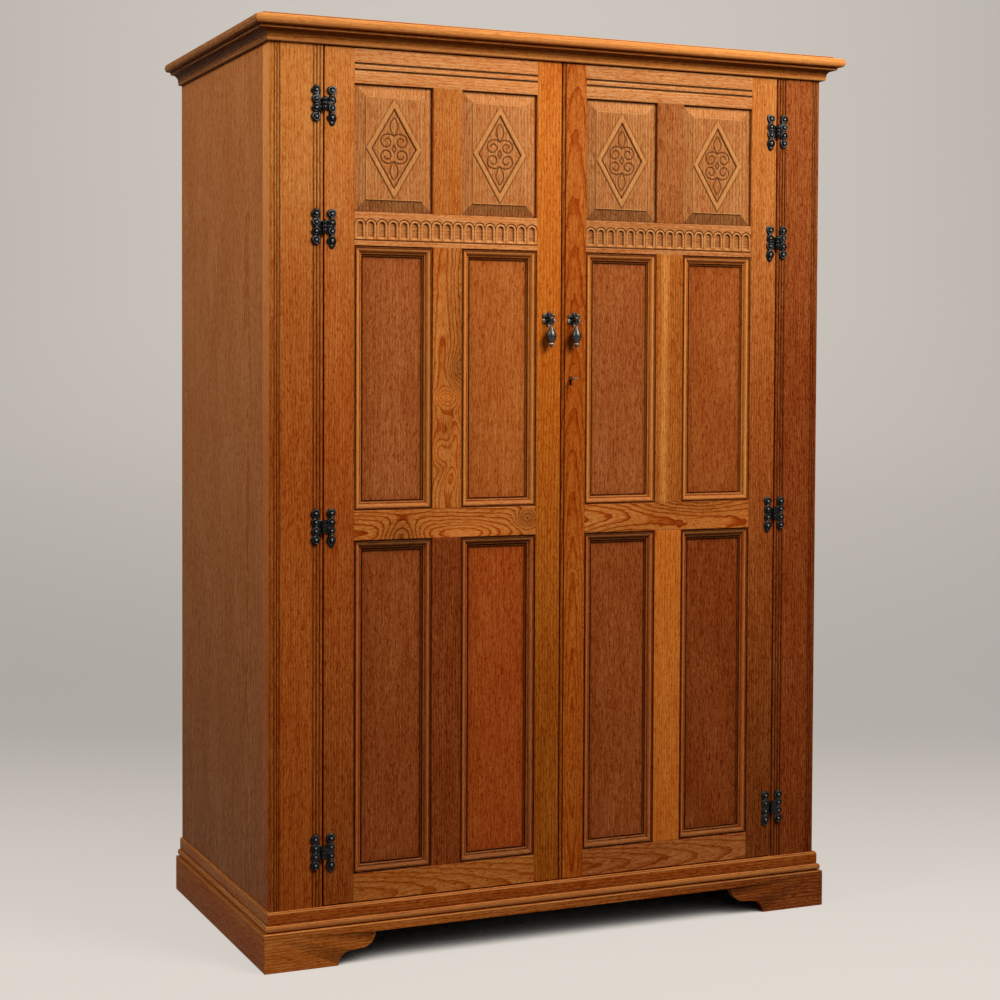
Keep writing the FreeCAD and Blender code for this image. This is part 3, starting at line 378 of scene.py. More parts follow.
def relief(across, up, face, back, wear=0.0, grime=0.0, tone=1.0):
    """Carved board: a depth over each point of an upright grid, closed by its four edges and a flat back."""
    grid = np.stack(np.broadcast_arrays(across[None, :], face, up[:, None]), axis=-1)
    wear, grime, tone = (np.broadcast_to(value, grid.shape[:2]) for value in (wear, grime, tone))
    grid = np.pad(grid, ((1, 1), (1, 1), (0, 0)), mode="edge")
    grid[[0, -1], :, Y] = back
    grid[:, [0, -1], Y] = back
    rows, columns = grid.shape[:2]
    index = np.arange(rows * columns).reshape(rows, columns)
    ring = np.concatenate((index[0, :-1], index[:-1, -1], index[-1, :0:-1], index[:0:-1, 0]))[None, ::-1]
    faces = [grid_faces(rows, columns, False), ring]
    return Form(grid, faces, np.pad(wear, 1), np.pad(grime, 1), np.pad(tone, 1, mode="edge"))


def turned(outline, foot, axis, count, wear=0.0):
    """Outline of radius and height spun round an upright or level line through its foot."""
    angle = np.linspace(0, 2 * math.pi, count, endpoint=False)
    across, deep = [other for other in (X, Y, Z) if other != axis]
    grid = np.zeros((len(outline), count, 3))
    grid[:, :, across] = outline[:, :1] * np.cos(angle)
    grid[:, :, deep] = outline[:, :1] * np.sin(angle)
    grid[:, :, axis] = outline[:, 1:]
    return tube(grid + np.asarray(foot, float), np.broadcast_to(wear, len(outline))[:, None])


def cast(share, angle, reach, height, skirt, wear):
    """Casting on a flat bed: a height over rings that grow by share to its reach, and a skirt of two rings.

    The skirt gives the width of the middle and of the last ring as shares of the rim.
    """
    rings = len(share)
    grid = np.zeros((rings + 2, angle.shape[1], 3))
    grid[:rings, :, X] = share * reach * np.cos(angle)
    grid[:rings, :, Z] = share * reach * np.sin(angle)
    grid[:rings, :, Y] = -height
    for ring, (width, level) in enumerate(zip(skirt, (0.5, 0.0))):
        grid[rings + ring] = grid[rings - 1] * (width, level, width)
    return grid * MM, np.pad(unit(wear), ((0, 2), (0, 0)))


def make_piece(name, forms, body, node, finish="waxed_oak", sharp=PLAIN):
    """One object from several surfaces, with their grain, tint and finish kept as point attributes."""
    starts = np.cumsum([0] + [len(form.points) for form in forms])
    points = np.concatenate([form.points for form in forms])
    groups = [group + start for form, start in zip(forms, starts) for group in form.faces]
    corners = np.concatenate([group.ravel() for group in groups])
    sizes = np.concatenate([np.full(len(group), group.shape[1]) for group in groups])
    mesh = bpy.data.meshes.new(name)
    mesh.vertices.add(len(points))
    mesh.vertices.foreach_set("co", points.astype(np.float32).ravel())
    mesh.loops.add(len(corners))
    mesh.loops.foreach_set("vertex_index", corners.astype(np.int32))
    mesh.polygons.add(len(sizes))
    mesh.polygons.foreach_set("loop_start", (np.cumsum(sizes) - sizes).astype(np.int32))
    mesh.update(calc_edges=True)
    mesh.polygons.foreach_set("use_smooth", np.ones(len(sizes), bool))
    mesh.set_sharp_from_angle(angle=math.radians(sharp))
    grain = [form.grain for form in forms]
    tint = [np.column_stack((form.tint, np.ones(len(form.tint)))) for form in forms]
    # The finish attribute holds wear with painted highlight, grime with painted shade, and figure
    state = [np.column_stack((form.wear, form.grime, np.full(len(form.wear), form.figure))) for form in forms]
    for label, kind, key, values in (
        ("grain", "FLOAT_VECTOR", "vector", grain),
        ("tint", "FLOAT_COLOR", "color", tint),
        ("finish", "FLOAT_VECTOR", "vector", state),
    ):
        flat = np.concatenate(values).astype(np.float32).ravel()
        mesh.attributes.new(label, kind, "POINT").data.foreach_set(key, flat)
    mesh.materials.append(finish_of(finish))
    piece = bpy.data.objects.new(name, mesh)
    bpy.context.scene.collection.objects.link(piece)
    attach(piece, body)
    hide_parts(node)


def dress(nodes, finish):
    """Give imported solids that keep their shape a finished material."""
    for name in nodes:
        mesh = frame["nodes"][name].data
        mesh.materials.clear()
        mesh.materials.append(finish_of(finish))


def span(node):
    """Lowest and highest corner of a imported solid."""
    low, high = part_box(node)
    return np.array(low), np.array(high)


def extent(node, axis):
    """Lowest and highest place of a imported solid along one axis."""
    low, high = span(node)
    return low[axis], high[axis]


def add_node(tree, kind, links=None, **settings):
    """Add a shader node of this kind, set its options, and link or set its inputs."""
    made = tree.nodes.new("ShaderNode" + kind)
    for key, value in settings.items():
        setattr(made, key, value)
    for socket, value in (links or {}).items():
        if isinstance(value, bpy.types.NodeSocket):
            tree.links.new(value, made.inputs[socket])
        else:
            made.inputs[socket].default_value = value
    return made


def new_material(name):
    """Empty node material."""
    material = bpy.data.materials.new(name)
    material.use_nodes = True
    material.node_tree.nodes.clear()
    return material


def rgba(value, share=1.0):
    """Colour with full opacity, or a share of its strength."""
    return (*(part * share for part in value), 1.0)


def wandering(tree, grain, reach, sway):
    """Grain coordinates pushed across the board by a soft noise."""
    stretch = add_node(tree, "Mapping", {"Vector": grain, "Scale": reach})
    noise = add_node(tree, "TexNoise", {"Vector": stretch.outputs[0], "Scale": 1.0, "Detail": 2.0})
    return add_node(
        tree, "VectorMath",
        {0: noise.outputs["Color"], 1: (0.0, sway, sway), 2: grain}, operation="MULTIPLY_ADD",
    ).outputs[0]


def oak_material(name, axes=None, tint=None):
    """Oak, planed, stained and waxed: flecks and pores drink more stain; rubbed edges and painted highlights
    are paler.

    With axes and tint it reads the solid's own coordinates; without them it reads the piece's grain and tint
    attributes. A darker line is the tint raised to a higher power, as a thicker film of stain would be.
    """
    oak = oak_settings()
    material = new_material(name)
    tree = material.node_tree
    if axes is None:
        grain, base, finish = (
            add_node(tree, "Attribute", attribute_name=label).outputs[output]
            for label, output in (("grain", "Vector"), ("tint", "Color"), ("finish", "Vector"))
        )
        wear, grime, figure = add_node(tree, "SeparateXYZ", {0: finish}).outputs
    else:
        place = add_node(tree, "TexCoord").outputs["Object"]
        parts = add_node(tree, "SeparateXYZ", {0: place}).outputs
        ordered = add_node(tree, "CombineXYZ", {i: parts[axis] for i, axis in enumerate(axes)})
        from_pith = (1.7, 0.14, 0.4)
        grain = add_node(
            tree, "VectorMath", {0: ordered.outputs[0], 1: from_pith}, operation="ADD",
        ).outputs[0]
        base, wear, grime, figure = rgba(tint), 0.0, 0.0, 0.3

    # Rings wander by about 4 mm either way over half a metre of board, pores by about 2 mm over 25 mm
    rings_at = wandering(tree, grain, (2.2, 11.0, 11.0), 0.016)
    pores_at = wandering(tree, grain, (38.0, 75.0, 75.0), 0.012)
    # A ring pattern repeats every pi / 10 of its scale
    rings = add_node(
        tree, "TexWave",
        {
            "Vector": rings_at, "Scale": math.pi / 10 / oak.ring_width,
            "Distortion": 2.2, "Detail": 2.0, "Detail Scale": 0.6,
        },
        wave_type="RINGS", rings_direction="X", wave_profile="SAW",
    )
    late = add_node(
        tree, "MapRange", {"Value": rings.outputs["Fac"], "From Min": 0.55, "From Max": 1.0},
        interpolation_type="SMOOTHSTEP",
    )
    shade = add_node(tree, "Math", {0: late.outputs[0], 1: figure}, operation="MULTIPLY")
    shade = add_node(
        tree, "Math", {0: shade.outputs[0], 1: 0.62, 2: 0.77}, operation="MULTIPLY_ADD",
    ).outputs[0]
    for reach, low, high, most, place in (
        # Pores 14 mm long and 1 mm wide, drawn four times as wide as life so that they show
        ((70.0, 900.0, 900.0), 0.52, 0.62, 0.26, pores_at),
        # Rows of open pores 22 mm long and 2.2 mm wide
        ((45.0, 460.0, 460.0), 0.50, 0.62, 0.25, pores_at),
        # Bands of fibre 100 mm long and 5 mm wide
        ((10.0, 200.0, 200.0), 0.30, 0.70, 0.12, grain),
        # Patches of stain a hand wide
        ((4.0, 12.0, 12.0), 0.30, 0.70, 0.07, grain),
    ):
        stretch = add_node(tree, "Mapping", {"Vector": place, "Scale": reach})
        noise = add_node(tree, "TexNoise", {"Vector": stretch.outputs[0], "Scale": 1.0, "Detail": 2.0})
        level = add_node(
            tree, "MapRange",
            {"Value": noise.outputs["Fac"], "From Min": low, "From Max": high, "To Max": most},
            interpolation_type="SMOOTHSTEP",
        )
        shade = add_node(tree, "Math", {0: level.outputs[0], 1: shade}, operation="ADD").outputs[0]
    coat = add_node(tree, "Gamma", {"Color": base, "Gamma": shade}).outputs[0]
    # Edges are rubbed pale and painted highlights laid on first, and old wax and painted shade fill the
    # hollows over that
    for amount, most, tone in ((wear, 0.6, oak.pale), (grime, 0.9, oak.wax_and_shade)):
        covered = add_node(tree, "Math", {0: amount, 1: most}, operation="MULTIPLY")
        coat = add_node(
            tree, "Mix", {0: covered.outputs[0], 6: coat, 7: rgba(tone)}, data_type="RGBA",
        ).outputs[2]

    gloss = add_node(
        tree, "MapRange",
        {"Value": shade, "From Min": 0.7, "From Max": 1.5, "To Min": 0.36, "To Max": 0.58},
    )
    bump = add_node(tree, "Bump", {"Strength": 0.25, "Distance": 0.5 * MM, "Height": shade}, invert=True)
    shader = add_node(tree, "BsdfPrincipled", {
        "Base Color": coat, "Roughness": gloss.outputs[0], "Normal": bump.outputs[0], "IOR": 1.5,
        "Specular IOR Level": 0.015,
    })
    add_node(tree, "OutputMaterial", {"Surface": shader.outputs[0]})
    return material


def metal_material(name, tone, roughness, metallic, lump, dark, level=0.5):
    """Cast or drawn metal: small lumps change its tone and gloss, and its proud places are rubbed pale as
    painted highlights.

    A rubbed place is dull and pale, a painted highlight that looks lit whichever way it faces.
    """
    material = new_material(name)
    tree = material.node_tree
    place = add_node(tree, "TexCoord").outputs["Object"]
    finish = add_node(tree, "Attribute", attribute_name="finish").outputs["Vector"]
    wear = add_node(tree, "SeparateXYZ", {0: finish}).outputs[0]
    lumps = add_node(tree, "TexNoise", {"Vector": place, "Scale": 1 / lump, "Detail": 4.0}).outputs["Fac"]
    tarnish = add_node(tree, "Mix", {0: lumps, 6: rgba(tone, dark), 7: rgba(tone)}, data_type="RGBA")
    # Rubbed places take the pale colour as painted highlights
    bright = rgba(bpy.context.scene.wardrobe_metal.rubbed_and_highlight)
    skin = add_node(tree, "Mix", {0: wear, 6: tarnish.outputs[2], 7: bright}, data_type="RGBA")
    bare = add_node(tree, "Math", {0: wear, 1: -metallic, 2: metallic}, operation="MULTIPLY_ADD")
    gloss = add_node(
        tree, "MapRange", {"Value": lumps, "To Min": roughness * 1.3, "To Max": roughness * 0.7},
    )
    bump = add_node(tree, "Bump", {"Strength": 0.3, "Distance": 0.2 * MM, "Height": lumps})
    shader = add_node(tree, "BsdfPrincipled", {
        "Base Color": skin.outputs[2], "Roughness": gloss.outputs[0], "Normal": bump.outputs[0],
        "Metallic": bare.outputs[0], "Specular IOR Level": level,
    })
    add_node(tree, "OutputMaterial", {"Surface": shader.outputs[0]})
    return material


def finish_of(name):
    """Material of this name, made on first use."""
    found = bpy.data.materials.get(name)
    if found is not None:
        return found
    oak, metal = oak_settings(), bpy.context.scene.wardrobe_metal
    makers = {
        # Oak, planed, stained and waxed: warm, figured and softly shining on every show piece
        "waxed_oak": lambda: oak_material(name),
        # The same oak on a solid that keeps its own shape
        "waxed_oak_level": lambda: oak_material(name, LEVEL, oak.amber),
        # Plain timber and ply inside, hardly polished, so paler and duller
        "bare_oak_level": lambda: oak_material(name, LEVEL, oak.bare),
        "bare_oak_flat": lambda: oak_material(name, FLAT, oak.bare),
        # Cast iron under black lacquer: deep black, with painted highlights where it is rubbed
        "lacquered_iron": lambda: metal_material(name, metal.iron, 0.28, 0.0, 2.5 * MM, 0.5, 0.22),
        # Cast pewter gone dark: grey with a soft sheen
        "dark_pewter": lambda: metal_material(name, metal.pewter, 0.38, 0.9, 3.0 * MM, 0.5),
        # Rolled steel, handled and dull: brownish grey
        "handled_steel": lambda: metal_material(name, metal.steel, 0.38, 0.6, 2.0 * MM, 0.7),
        # Drawn brass tube, lacquered: yellow and bright
        "lacquered_brass": lambda: metal_material(name, metal.brass, 0.30, 1.0, 4.0 * MM, 0.75),
    }
    return makers[name]()


class Layout:
    """Edges of the right-hand door's framing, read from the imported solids."""

    def __init__(self):
        x_meet = extent("right_meeting_stile", X)[1]
        x_hinge = extent("right_hinge_stile", X)[0]
        self.x_muntin = extent("right_muntins", X)
        self.x_rail = (x_meet, x_hinge)
        self.face, self.back = extent("right_meeting_stile", Y)
        self.panel, self.panel_back = extent("right_plain_panels", Y)
        self.rails = {name: extent("right_" + name, Z) for name in RAILS}
        self.columns = ((x_meet, self.x_muntin[0]), (self.x_muntin[1], x_hinge))
        self.rows = {
            row: (self.rails[under][1], self.rails[over][0])
            for row, under, over in zip(("lower", "mid", "head"), RAILS, RAILS[1:])
        }


def from_edges(across, up, x, z):
    """Distance of each point of an upright grid from the nearest edge of a rectangle."""
    sideways = np.minimum(across - x[0], x[1] - across)
    return np.minimum(sideways[None, :], np.minimum(up - z[0], z[1] - up)[:, None])


class WardrobeOperator:
    """Shared settings of the operators."""
    bl_options = {"REGISTER", "UNDO"}


class WARDROBE_OT_posts(WardrobeOperator, bpy.types.Operator):
    """Corner posts with three reeds by the door and two fine ones by the corner, and the two side panels"""
    bl_idname = "wardrobe.posts"
    bl_label = "Posts and Sides"

    reed = 6.5
    reed_rise = 2.2
    fine = 5.0
    fine_rise = 1.6
    corner = 9.0
    corner_bow = 3.2
    margin = 4.0
    front_depth = 4.0
    groove_width = 1.2
    # Stain of each post, and how much painted light pales its top
    timber = {"left": ("amber", 0.42), "right": ("umber", 0.06)}

    def execute(self, context):
        low, high = span("right_corner_post")
        panel_low, panel_high = span("right_side_panel")
        panel_low[Y] = high[Y]
        for side, sign in SIDES:
            tone, top_light = self.timber[side]
            # Painted shade towards the floor and painted light towards the top
            post = self.post(low, high).placed(sign).darkened(0.9, 0.1, 0.3).lit_from_above(top_light)
            post.sawn(UPRIGHT, stain(tone), "straight", 0.3)
            make_piece(side + "_post", [post], "carcase", side + "_corner_post")
            panel = board(panel_low, panel_high, Z, parts=12).placed(sign)
            # Painted shade towards the floor and painted light towards the top
            panel.darkened(0.8, 0.1, 1.0).lit_from_above(0.03, 0.0, 1.5)
            panel.sawn(SIDE_UPRIGHT, stain("brown"), "straight", 0.3)
            make_piece(side + "_side", [panel], "carcase", side + "_side_panel")
        return {"FINISHED"}

    def post(self, low, high):
        """Reeded section carried up the post, old wax and painted shade in its grooves, painted light round
        the corner.
        """
        width, depth = (high[X] - low[X]) / MM, (high[Y] - low[Y]) / MM
        x_reed = self.reed * np.arange(4)
        x_fine = width - self.corner + self.fine * np.arange(-2, 1)
        reeds = ((x_reed, self.reed, self.reed_rise), (x_fine, self.fine, self.fine_rise))
        coarse, fine = (
            [arc((edge, rise), (edge + pitch, rise), -rise, 8) for edge in edges[:-1]]
            for edges, pitch, rise in reeds
        )
        rounded = arc((width - self.corner, self.fine_rise), (width, self.corner), -self.corner_bow, 8)
        outline = profile(
            (0, depth), *coarse, (x_reed[-1], 0), (x_reed[-1] + self.margin, 0),
            (x_fine[0] - self.margin, 0), (x_fine[0], 0), *fine, rounded, (width, depth),
        )
        post = strip(outline, low, (0, 0, high[Z] - low[Z]), (1, 0, 0), (0, 1, 0), rub_and_highlight=0.0, parts=12)
        inward = (post.points[:, Y] - low[Y]) / MM
        turned_away = inward > 0.6 * self.corner
        share = post.points[:, Z] / high[Z]
        # Painted highlight and painted light on the rounded corner, growing towards the top
        post.wear = turned_away * 0.5 * share
        post.tone = np.where(turned_away, 0.85 + 0.65 * share, 1.0)
        grooves = np.concatenate((x_reed[1:], x_fine))
        near = np.abs((post.points[:, X] - low[X])[:, None] / MM - grooves).min(axis=1)
        # Old wax and painted shade in the grooves of the front
        post.grime = np.where(inward < self.front_depth, 0.7 * bell(near, self.groove_width), 0.0)
        return post


class WARDROBE_OT_cornice(WardrobeOperator, bpy.types.Operator):
    """Cornice of a round nose, a fillet, a cove and a swelling foot, mitred round three sides"""
    bl_idname = "wardrobe.cornice"
    bl_label = "Cornice"

    outline = profile(
        (0, 0), (5, 0), arc((5, 0), (8, 4.5), -0.8, 4), (8.4, 10.5), arc((8.4, 10.5), (25, 21.5), 4.4),
        (25, 27), (29.5, 27.5), arc((34.0, 28), (34.0, 44.5), -4.0), (19, 49), (17.5, 51), (0, 51),
    )

    def execute(self, context):
        return wrap_moulding(
            "cornice", self.outline, stain("honey"), stain("brown", 0.65), rub_and_highlight=0.9, fade=0.95,
        )


class WARDROBE_OT_base_moulding(WardrobeOperator, bpy.types.Operator):
    """Base moulding of a flat band with a rounded top edge over a quirk and a bead"""
    bl_idname = "wardrobe.base_moulding"
    bl_label = "Base Moulding"

    outline = profile(
        (0, 0), (5, 0), (5, 2.4), (8.6, 2.8), arc((9.2, 3.6), (9.6, 11.5), -0.9, 4), (8.2, 14),
        (4.4, 14.6), (4.4, 17.0), (5, 17.6), (5, 36.6), (2.6, 40), (0, 40),
    )

    def execute(self, context):
        return wrap_moulding(
            "base_moulding", self.outline, stain("amber"), stain("brown", 1.15), rub_and_highlight=0.75, fade=0.8,
        )


def wrap_moulding(stem, outline, front_tone, side_tone, rub_and_highlight, fade):
    """Front and side strips of a moulding that wraps the body, with true mitres at the corners.

    The fade is the share of its tone that the right half of the front keeps.
    """
    body_x = extent("right_corner_post", X)[1]
    face = extent("right_corner_post", Y)[0]
    back = extent("back_panel", Y)[1]
    foot = extent(stem + "_front", Z)[0]
    up, ease, figure, side_rub_and_highlight = (0, 0, 1), 1.6 * MM, 0.45, 0.25
    start, run = (-body_x, face, foot), (2 * body_x, 0, 0)
    # Crests take wear and painted highlights, hollows old wax and painted shade
    front = strip(outline, start, run, (0, -1, 0), up, (-1.0, -1.0), rub_and_highlight, ease=ease)
    front.tone = np.where(front.points[:, X] > 0, fade, 1.0)
    front.sawn(LEVEL, front_tone, "straight", figure)
    make_piece(stem + "_front_strip", [front], "carcase", stem + "_front")
    start, run = (body_x, face, foot), (0, back - face, 0)
    for side, sign in SIDES:
        end = strip(outline, start, run, (1, 0, 0), up, (-1.0, 0.0), side_rub_and_highlight, ease=ease).placed(sign)
        end.sawn(SIDE_LEVEL, side_tone, "straight", figure)
        make_piece(stem + "_" + side + "_strip", [end], "carcase", stem + "_" + side)
    return {"FINISHED"}


class WARDROBE_OT_plinth(WardrobeOperator, bpy.types.Operator):
    """Plinth boards; the front one is cut away to bracket feet of a cove, a step and an ovolo"""
    bl_idname = "wardrobe.plinth"
    bl_label = "Plinth"

    foot = 150.0
    cove = 27.0
    step = 20.0
    rise = 2.0
    ovolo = 30.0
    edge = 3.0
    arris = 0.8 * MM
    side_ease = 2.0 * MM
    side_rub_and_highlight = 0.4

    def execute(self, context):
        low, high = span("plinth_front")
        thick = high[Y] - low[Y]
        height = (high[Z] - low[Z]) / MM - self.edge
        z_lip = low[Z] + height * MM
        up = (0, 0, 1)
        deep = thick / MM
        lip = profile((0, 0), (deep, 0), (deep, self.edge), (0, self.edge))
        start, run = (thick - high[X], low[Y] + thick, z_lip), (2 * (high[X] - thick), 0, 0)
        # The top edge takes wear and a painted highlight
        edge = strip(lip, start, run, (0, -1, 0), up, (-1.0, -1.0), ease=self.side_ease)
        forms = [
            form.sawn(LEVEL, self.front_stain(form, low[X], high[X]), "straight", 0.5)
            for form in (self.bracket_board(low, high, height), edge)
        ]
        make_piece("plinth_front_board", forms, "carcase", "plinth_front")
        side_low, side_high = span("plinth_right")
        flat = profile((0, 0), (deep, 0), (deep, height), (0, height))
        run = (0, side_high[Y] - side_low[Y] - thick, 0)
        for side, sign in SIDES:
            forms = []
            for section, z in ((flat, low[Z]), (lip, z_lip)):
                start = (side_high[X] - thick, side_low[Y] + thick, z)
                form = strip(
                    section, start, run, (1, 0, 0), up, (-1.0, 0.0), self.side_rub_and_highlight, ease=self.side_ease,
                )
                forms.append(form.placed(sign).sawn(SIDE_LEVEL, stain("golden", 0.86), "straight", 0.5))
            make_piece("plinth_" + side + "_board", forms, "carcase", "plinth_" + side)
        return {"FINISHED"}

    def bracket_board(self, low, high, height):
        """Outline with both feet carried through the board's thickness; its ends slope back to the mitres."""
        half = high[X] / MM
        x_floor = half - self.foot
        x_cove = x_floor - self.cove
        x_ovolo = x_cove - self.step
        z_ovolo = self.cove + self.rise
        quarter_bow = 1 - math.sqrt(0.5)
        top = (x_ovolo - self.ovolo, z_ovolo + self.ovolo)
        right = np.concatenate((
            arc((x_floor, 0), (x_cove, self.cove), -self.cove * quarter_bow, 8),
            arc((x_ovolo, z_ovolo), top, self.ovolo * quarter_bow, 8),
        ))
        left = right * (-1, 1)
        outline = profile((half, 0), (half, height), (-half, height), (-half, 0), left, right[::-1])
        # Outer corners take wear and painted highlights, inner ones old wax and painted shade
        section, wear, grime = eased(outline, self.arris)
        ends = np.array((low[Y], low[Y] + self.arris, high[Y] - self.arris, high[Y]))[:, None]
        at_end = np.abs(section[:, 0]) > (half - 2.0) * MM
        mitre = np.sign(section[:, 0]) * at_end * (ends - low[Y])
        grid = np.stack(np.broadcast_arrays(section[:, 0] - mitre, ends, section[:, 1]), axis=-1)
        return tube(grid, wear[None, :] * np.array((0, 1, 1, 0))[:, None], grime[None, :])

    def front_stain(self, form, left, right):
        """Stain of the front board, which turns darker and redder from its left end to its right."""
        share = ((form.points[:, X] - left) / (right - left))[:, None]
        return (1 - share) * stain("honey", 1.06) + share * stain("sienna", 0.8)


class WARDROBE_OT_door_frames(WardrobeOperator, bpy.types.Operator):
    """Stiles, plain rails and muntins of both doors"""
    bl_idname = "wardrobe.door_frames"
    bl_label = "Door Frames"

    cell = 4.0
    bead = 7.0
    # Radius of the keyhole, and the width and length of the slot below it
    keyhole = 4.0
    slot = (4.5, 15.0)
    quirk_width, quirk_depth, hole_depth = 0.8, 1.8, 14.0
    # Middle and half-width of the light stripe of sapwood in one muntin, and how light it is
    sapwood_at, sapwood_half, sapwood_share = -10, 8, 0.42
    groove_half = 2.2
    groove_depth = 2.0
    # Distances of the top rail's two grooves below its upper edge
    groove_drops = (29, 41)
    # Each hinge stile's painted shade at its foot, how much painted light pales its top, and its stain
    hinge_stiles = {
        "left": (0.66, 0.34, ("amber", 1.1, 1.1, 1.2)),
        "right": (0.58, 0.28, ("amber", 0.84, 0.9, 1.15)),
    }
    # Stain and figure of each level board
    level_boards = {
        "left_bottom_rail": (("honey", 0.92), 0.6),
        "right_bottom_rail": (("chestnut", 1.1, 1.22, 1.2), 0.6),
        "left_middle_rail": (("honey",), 1.1),
        "right_middle_rail": (("honey",), 1.1),
    }
    # Strength of each top rail's stain, and its shares of red, green and blue
    top_rails = {"left": 1.28, "right": 1.05}
    top_rail_shift = (1.0, 1.07, 1.16)
    # Stain, cut and figure of each muntin
    muntin_boards = {
        "left_lower": (("umber",), "straight", 0.3),
        "left_mid": (("honey",), "flat", 0.75),
        "left_head": (("honey", 0.9), "straight", 0.3),
        "right_lower": (("honey", 1.1, 1.0, 0.7), "straight", 0.35),
        "right_mid": (("golden", 0.9, 0.95, 1.1), "straight", 0.4),
        "right_head": (("chestnut", 0.9, 1.06, 1.15), "straight", 0.3),
    }
    # Knots of the boards that show them: along, across, lift, and reach both ways
    knots = {
        "left_mid": (
            (19, 24, 24, 24, 16), (-107, 2, 15, 26, 15), (-150, -20, -13, 20, 13), (-120, 21, -13, 24, 12),
            (-180, -15, 14, 18, 15), (-196, 12, -12, 16, 13), (-38, 0, -15, 10, 60), (150, 30, 20, 120, 22),
        ),
        "left_middle_rail": ((-96, -22, 30, 26, 22), (176, 4, 30, 16, 13), (40, -30, -24, 60, 20)),
        "right_middle_rail": ((60, 35, 26, 90, 26), (-120, -40, 20, 80, 22)),
    }

    def execute(self, context):
        lay = Layout()
        for side, sign in SIDES:
            foot, top_light, tone = self.hinge_stiles[side]
            stile = board(*span("right_hinge_stile"), Z, parts=12).placed(sign)
            # Painted shade towards the foot and painted light towards the top
            stile.darkened(foot, 0.2, 1.1).lit_from_above(top_light).sawn(UPRIGHT, stain(*tone), "straight", 0.3)
            name = side + "_hinge_stile"
            make_piece(name + "_board", [stile], side + "_door", name)
            self.rails(lay, side, sign)
            self.muntins(lay, side, sign)
        # Edges rubbed with a painted highlight, painted shade towards the foot and painted light towards the
        # top
        stile = board(*span("right_meeting_stile"), Z, arris=0.3, parts=12).placed(-1)
        stile.darkened(0.64, 0.45, 1.3).lit_from_above(0.1)
        stile.sawn(UPRIGHT, stain("golden", 1.1, 1.02, 0.65), "straight", 0.35)
        make_piece("left_meeting_stile_board", [stile], "left_door", "left_meeting_stile")
        # Painted light towards the top
        stile = self.beaded_stile(lay).lit_from_above(0.06)
        stile.sawn(UPRIGHT, stain("amber", 1.0, 1.0, 0.7), "flat", 0.5)
        make_piece(
            "right_meeting_stile_board", [stile], "right_door", "right_meeting_stile",
            sharp=CARVED,
        )
        return {"FINISHED"}

    def rails(self, lay, side, sign):
        """Bottom, middle and top rail of one door."""
        for name in ("bottom_rail", "middle_rail"):
            node = side + "_" + name
            tone, figure = self.level_boards[node]
            rail = self.gridded(lay.x_rail, lay.rails[name], lay).placed(sign)
            rail.sawn(LEVEL, stain(*tone), "flat", figure).knotted(self.knots.get(node, ()))
            make_piece(node + "_board", [rail], side + "_door", node, sharp=CARVED)
        tone = stain("tan", self.top_rails[side]) * self.top_rail_shift
        rail = self.top_rail(lay).placed(sign).sawn(LEVEL, tone, "straight", 0.35)
        node = side + "_top_rail"
        make_piece(node + "_board", [rail], side + "_door", node)

    def muntins(self, lay, side, sign):
        """The three uprights of one door, each from its own board."""
        forms = []
        for row, z in lay.rows.items():
            label = side + "_" + row
            form = self.gridded(lay.x_muntin, z, lay).placed(sign)
            if label == "right_mid":
                across = form.points[:, X] / MM - sum(lay.x_muntin) / 2 / MM
                form.tone = np.full(len(across), 0.92)
                form.pale = self.sapwood_share * bell(across - self.sapwood_at, self.sapwood_half)
            tone, cut, figure = self.muntin_boards[label]
            forms.append(form.sawn(UPRIGHT, stain(*tone), cut, figure).knotted(self.knots.get(label, ())))
        node = side + "_muntins"
        make_piece(side + "_muntin_boards", forms, side + "_door", node, sharp=CARVED)

    def gridded(self, x, z, lay):
        """Flat board on a fine grid, so that its grain can close round knots, with eased edges dark with
        painted shade.
        """
        round_off, margin = 1.2, 2 * MM
        ease = np.array((0.0, 0.6, 1.2)) * MM
        lines = []
        for low, high in (x, z):
            inner = np.linspace(low + margin, high - margin, int((high - low) / self.cell / MM))
            lines.append(np.concatenate((low + ease, inner, high - ease[::-1])))
        near = from_edges(*lines, x, z) / MM
        depth = 0.6 * unit(1 - near / round_off) ** 2
        return relief(*lines, lay.face + depth * MM, lay.back, grime=0.25 * (near < 0.3))

